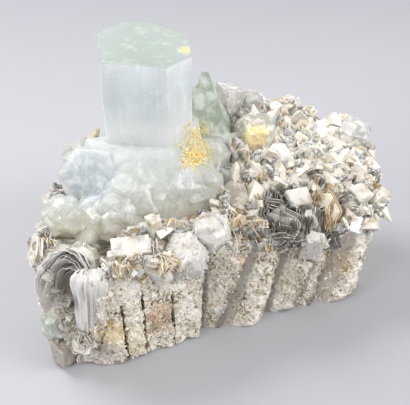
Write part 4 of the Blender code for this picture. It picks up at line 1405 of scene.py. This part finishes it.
def add_sheaf(finish):
    rng = random.Random(61)
    sheets = [(folium(row, rng), rng.random()) for row in FOLIA]
    sheets += [(lobe_sheet(row, rng), rng.random()) for row in LOBE_SHEETS]
    piece("mica_sheaf_folia", toned(sheets, "mica_sheaf_folia"), finish, "mica_sheaf")


# ---------------------------------------------------------------- stage, in metres and watts
FLOOR_HALF_WIDTH = 30.0
LIGHTS_AIM = Vector((0, 0, 0.04))
# place, size, power and colour of each softbox
SOFTBOXES = {
    "back_softbox": ((-0.45, 0.75, 1.15), 0.7, 13.0, (1.0, 1.0, 0.99)),
    "left_softbox": ((-0.95, -0.35, 0.80), 0.6, 3.5, (1.0, 0.99, 0.98)),
    "right_softbox": ((0.85, -0.55, 0.70), 0.6, 7.5, (1.0, 0.99, 0.98)),
}
WORLD_COLOUR = (0.955, 0.95, 0.98, 1.0)
WORLD_STRENGTH = 0.78


def add_stage(finish):
    bm = bmesh.new()
    bmesh.ops.create_grid(bm, x_segments=1, y_segments=1, size=FLOOR_HALF_WIDTH)
    floor = in_scene("floor", mesh_of("floor", bm))
    floor.data.materials.append(finish)


def add_lights():
    for name, (place, size, watts, colour) in SOFTBOXES.items():
        light = bpy.data.lights.new(name, "AREA")
        light.shape = "DISK"
        light.size = size
        light.energy = watts
        light.color = colour
        obj = in_scene(name, light)
        obj.location = place
        obj.rotation_euler = (LIGHTS_AIM - Vector(place)).to_track_quat("-Z", "Y").to_euler()
    world = bpy.data.worlds.new("studio")
    bpy.context.scene.world = world
    world.use_nodes = True
    background = world.node_tree.nodes["Background"]
    background.inputs["Color"].default_value = WORLD_COLOUR
    background.inputs["Strength"].default_value = WORLD_STRENGTH


def add_camera():
    lens = bpy.data.cameras.new("camera")
    lens.sensor_width = SENSOR
    lens.lens = FOCAL_PIXELS / IMAGE_WIDTH * SENSOR
    camera = in_scene("camera", lens)
    above = CAMERA_RIGHT.cross(CAMERA_AHEAD).normalized()
    turn = Matrix((CAMERA_RIGHT.normalized(), above, -CAMERA_AHEAD.normalized())).transposed()
    camera.matrix_world = Matrix.Translation(drawn(*CAMERA_PLACE)) @ turn.to_4x4()
    bpy.context.scene.camera = camera
    bpy.context.scene.view_settings.view_transform = "Standard"


def build():
    finishes = all_finishes()
    add_aquamarine(finishes["aquamarine"])
    for name, (finish, slot, wear, relief) in CRYSTALS.items():
        add_lump(name, finishes[finish], wear, relief)
    for name in LUMPS:
        add_lump(name, finishes["white_feldspar"])
    rng = random.Random(12)
    for name, (axis, leaves, finish) in BOOKS.items():
        add_book(name, Vector(axis).normalized(), leaves, finishes[finish], rng)
    add_rock(finishes["rock"])
    add_sheaf(finishes["folia"])
    kit = kits()
    add_blocks(kit, finishes["white_feldspar"])
    add_blades(kit, finishes)
    add_rosette(finishes["silver_mica"])
    add_corner_fans(kit, finishes)
    add_crust(kit, finishes)
    add_wall_grains(kit, finishes)
    add_fold_grains(kit, finishes)
    add_iron_grains(kit, finishes["iron"])
    add_stage(finishes["floor"])
    add_lights()
    add_camera()


build()
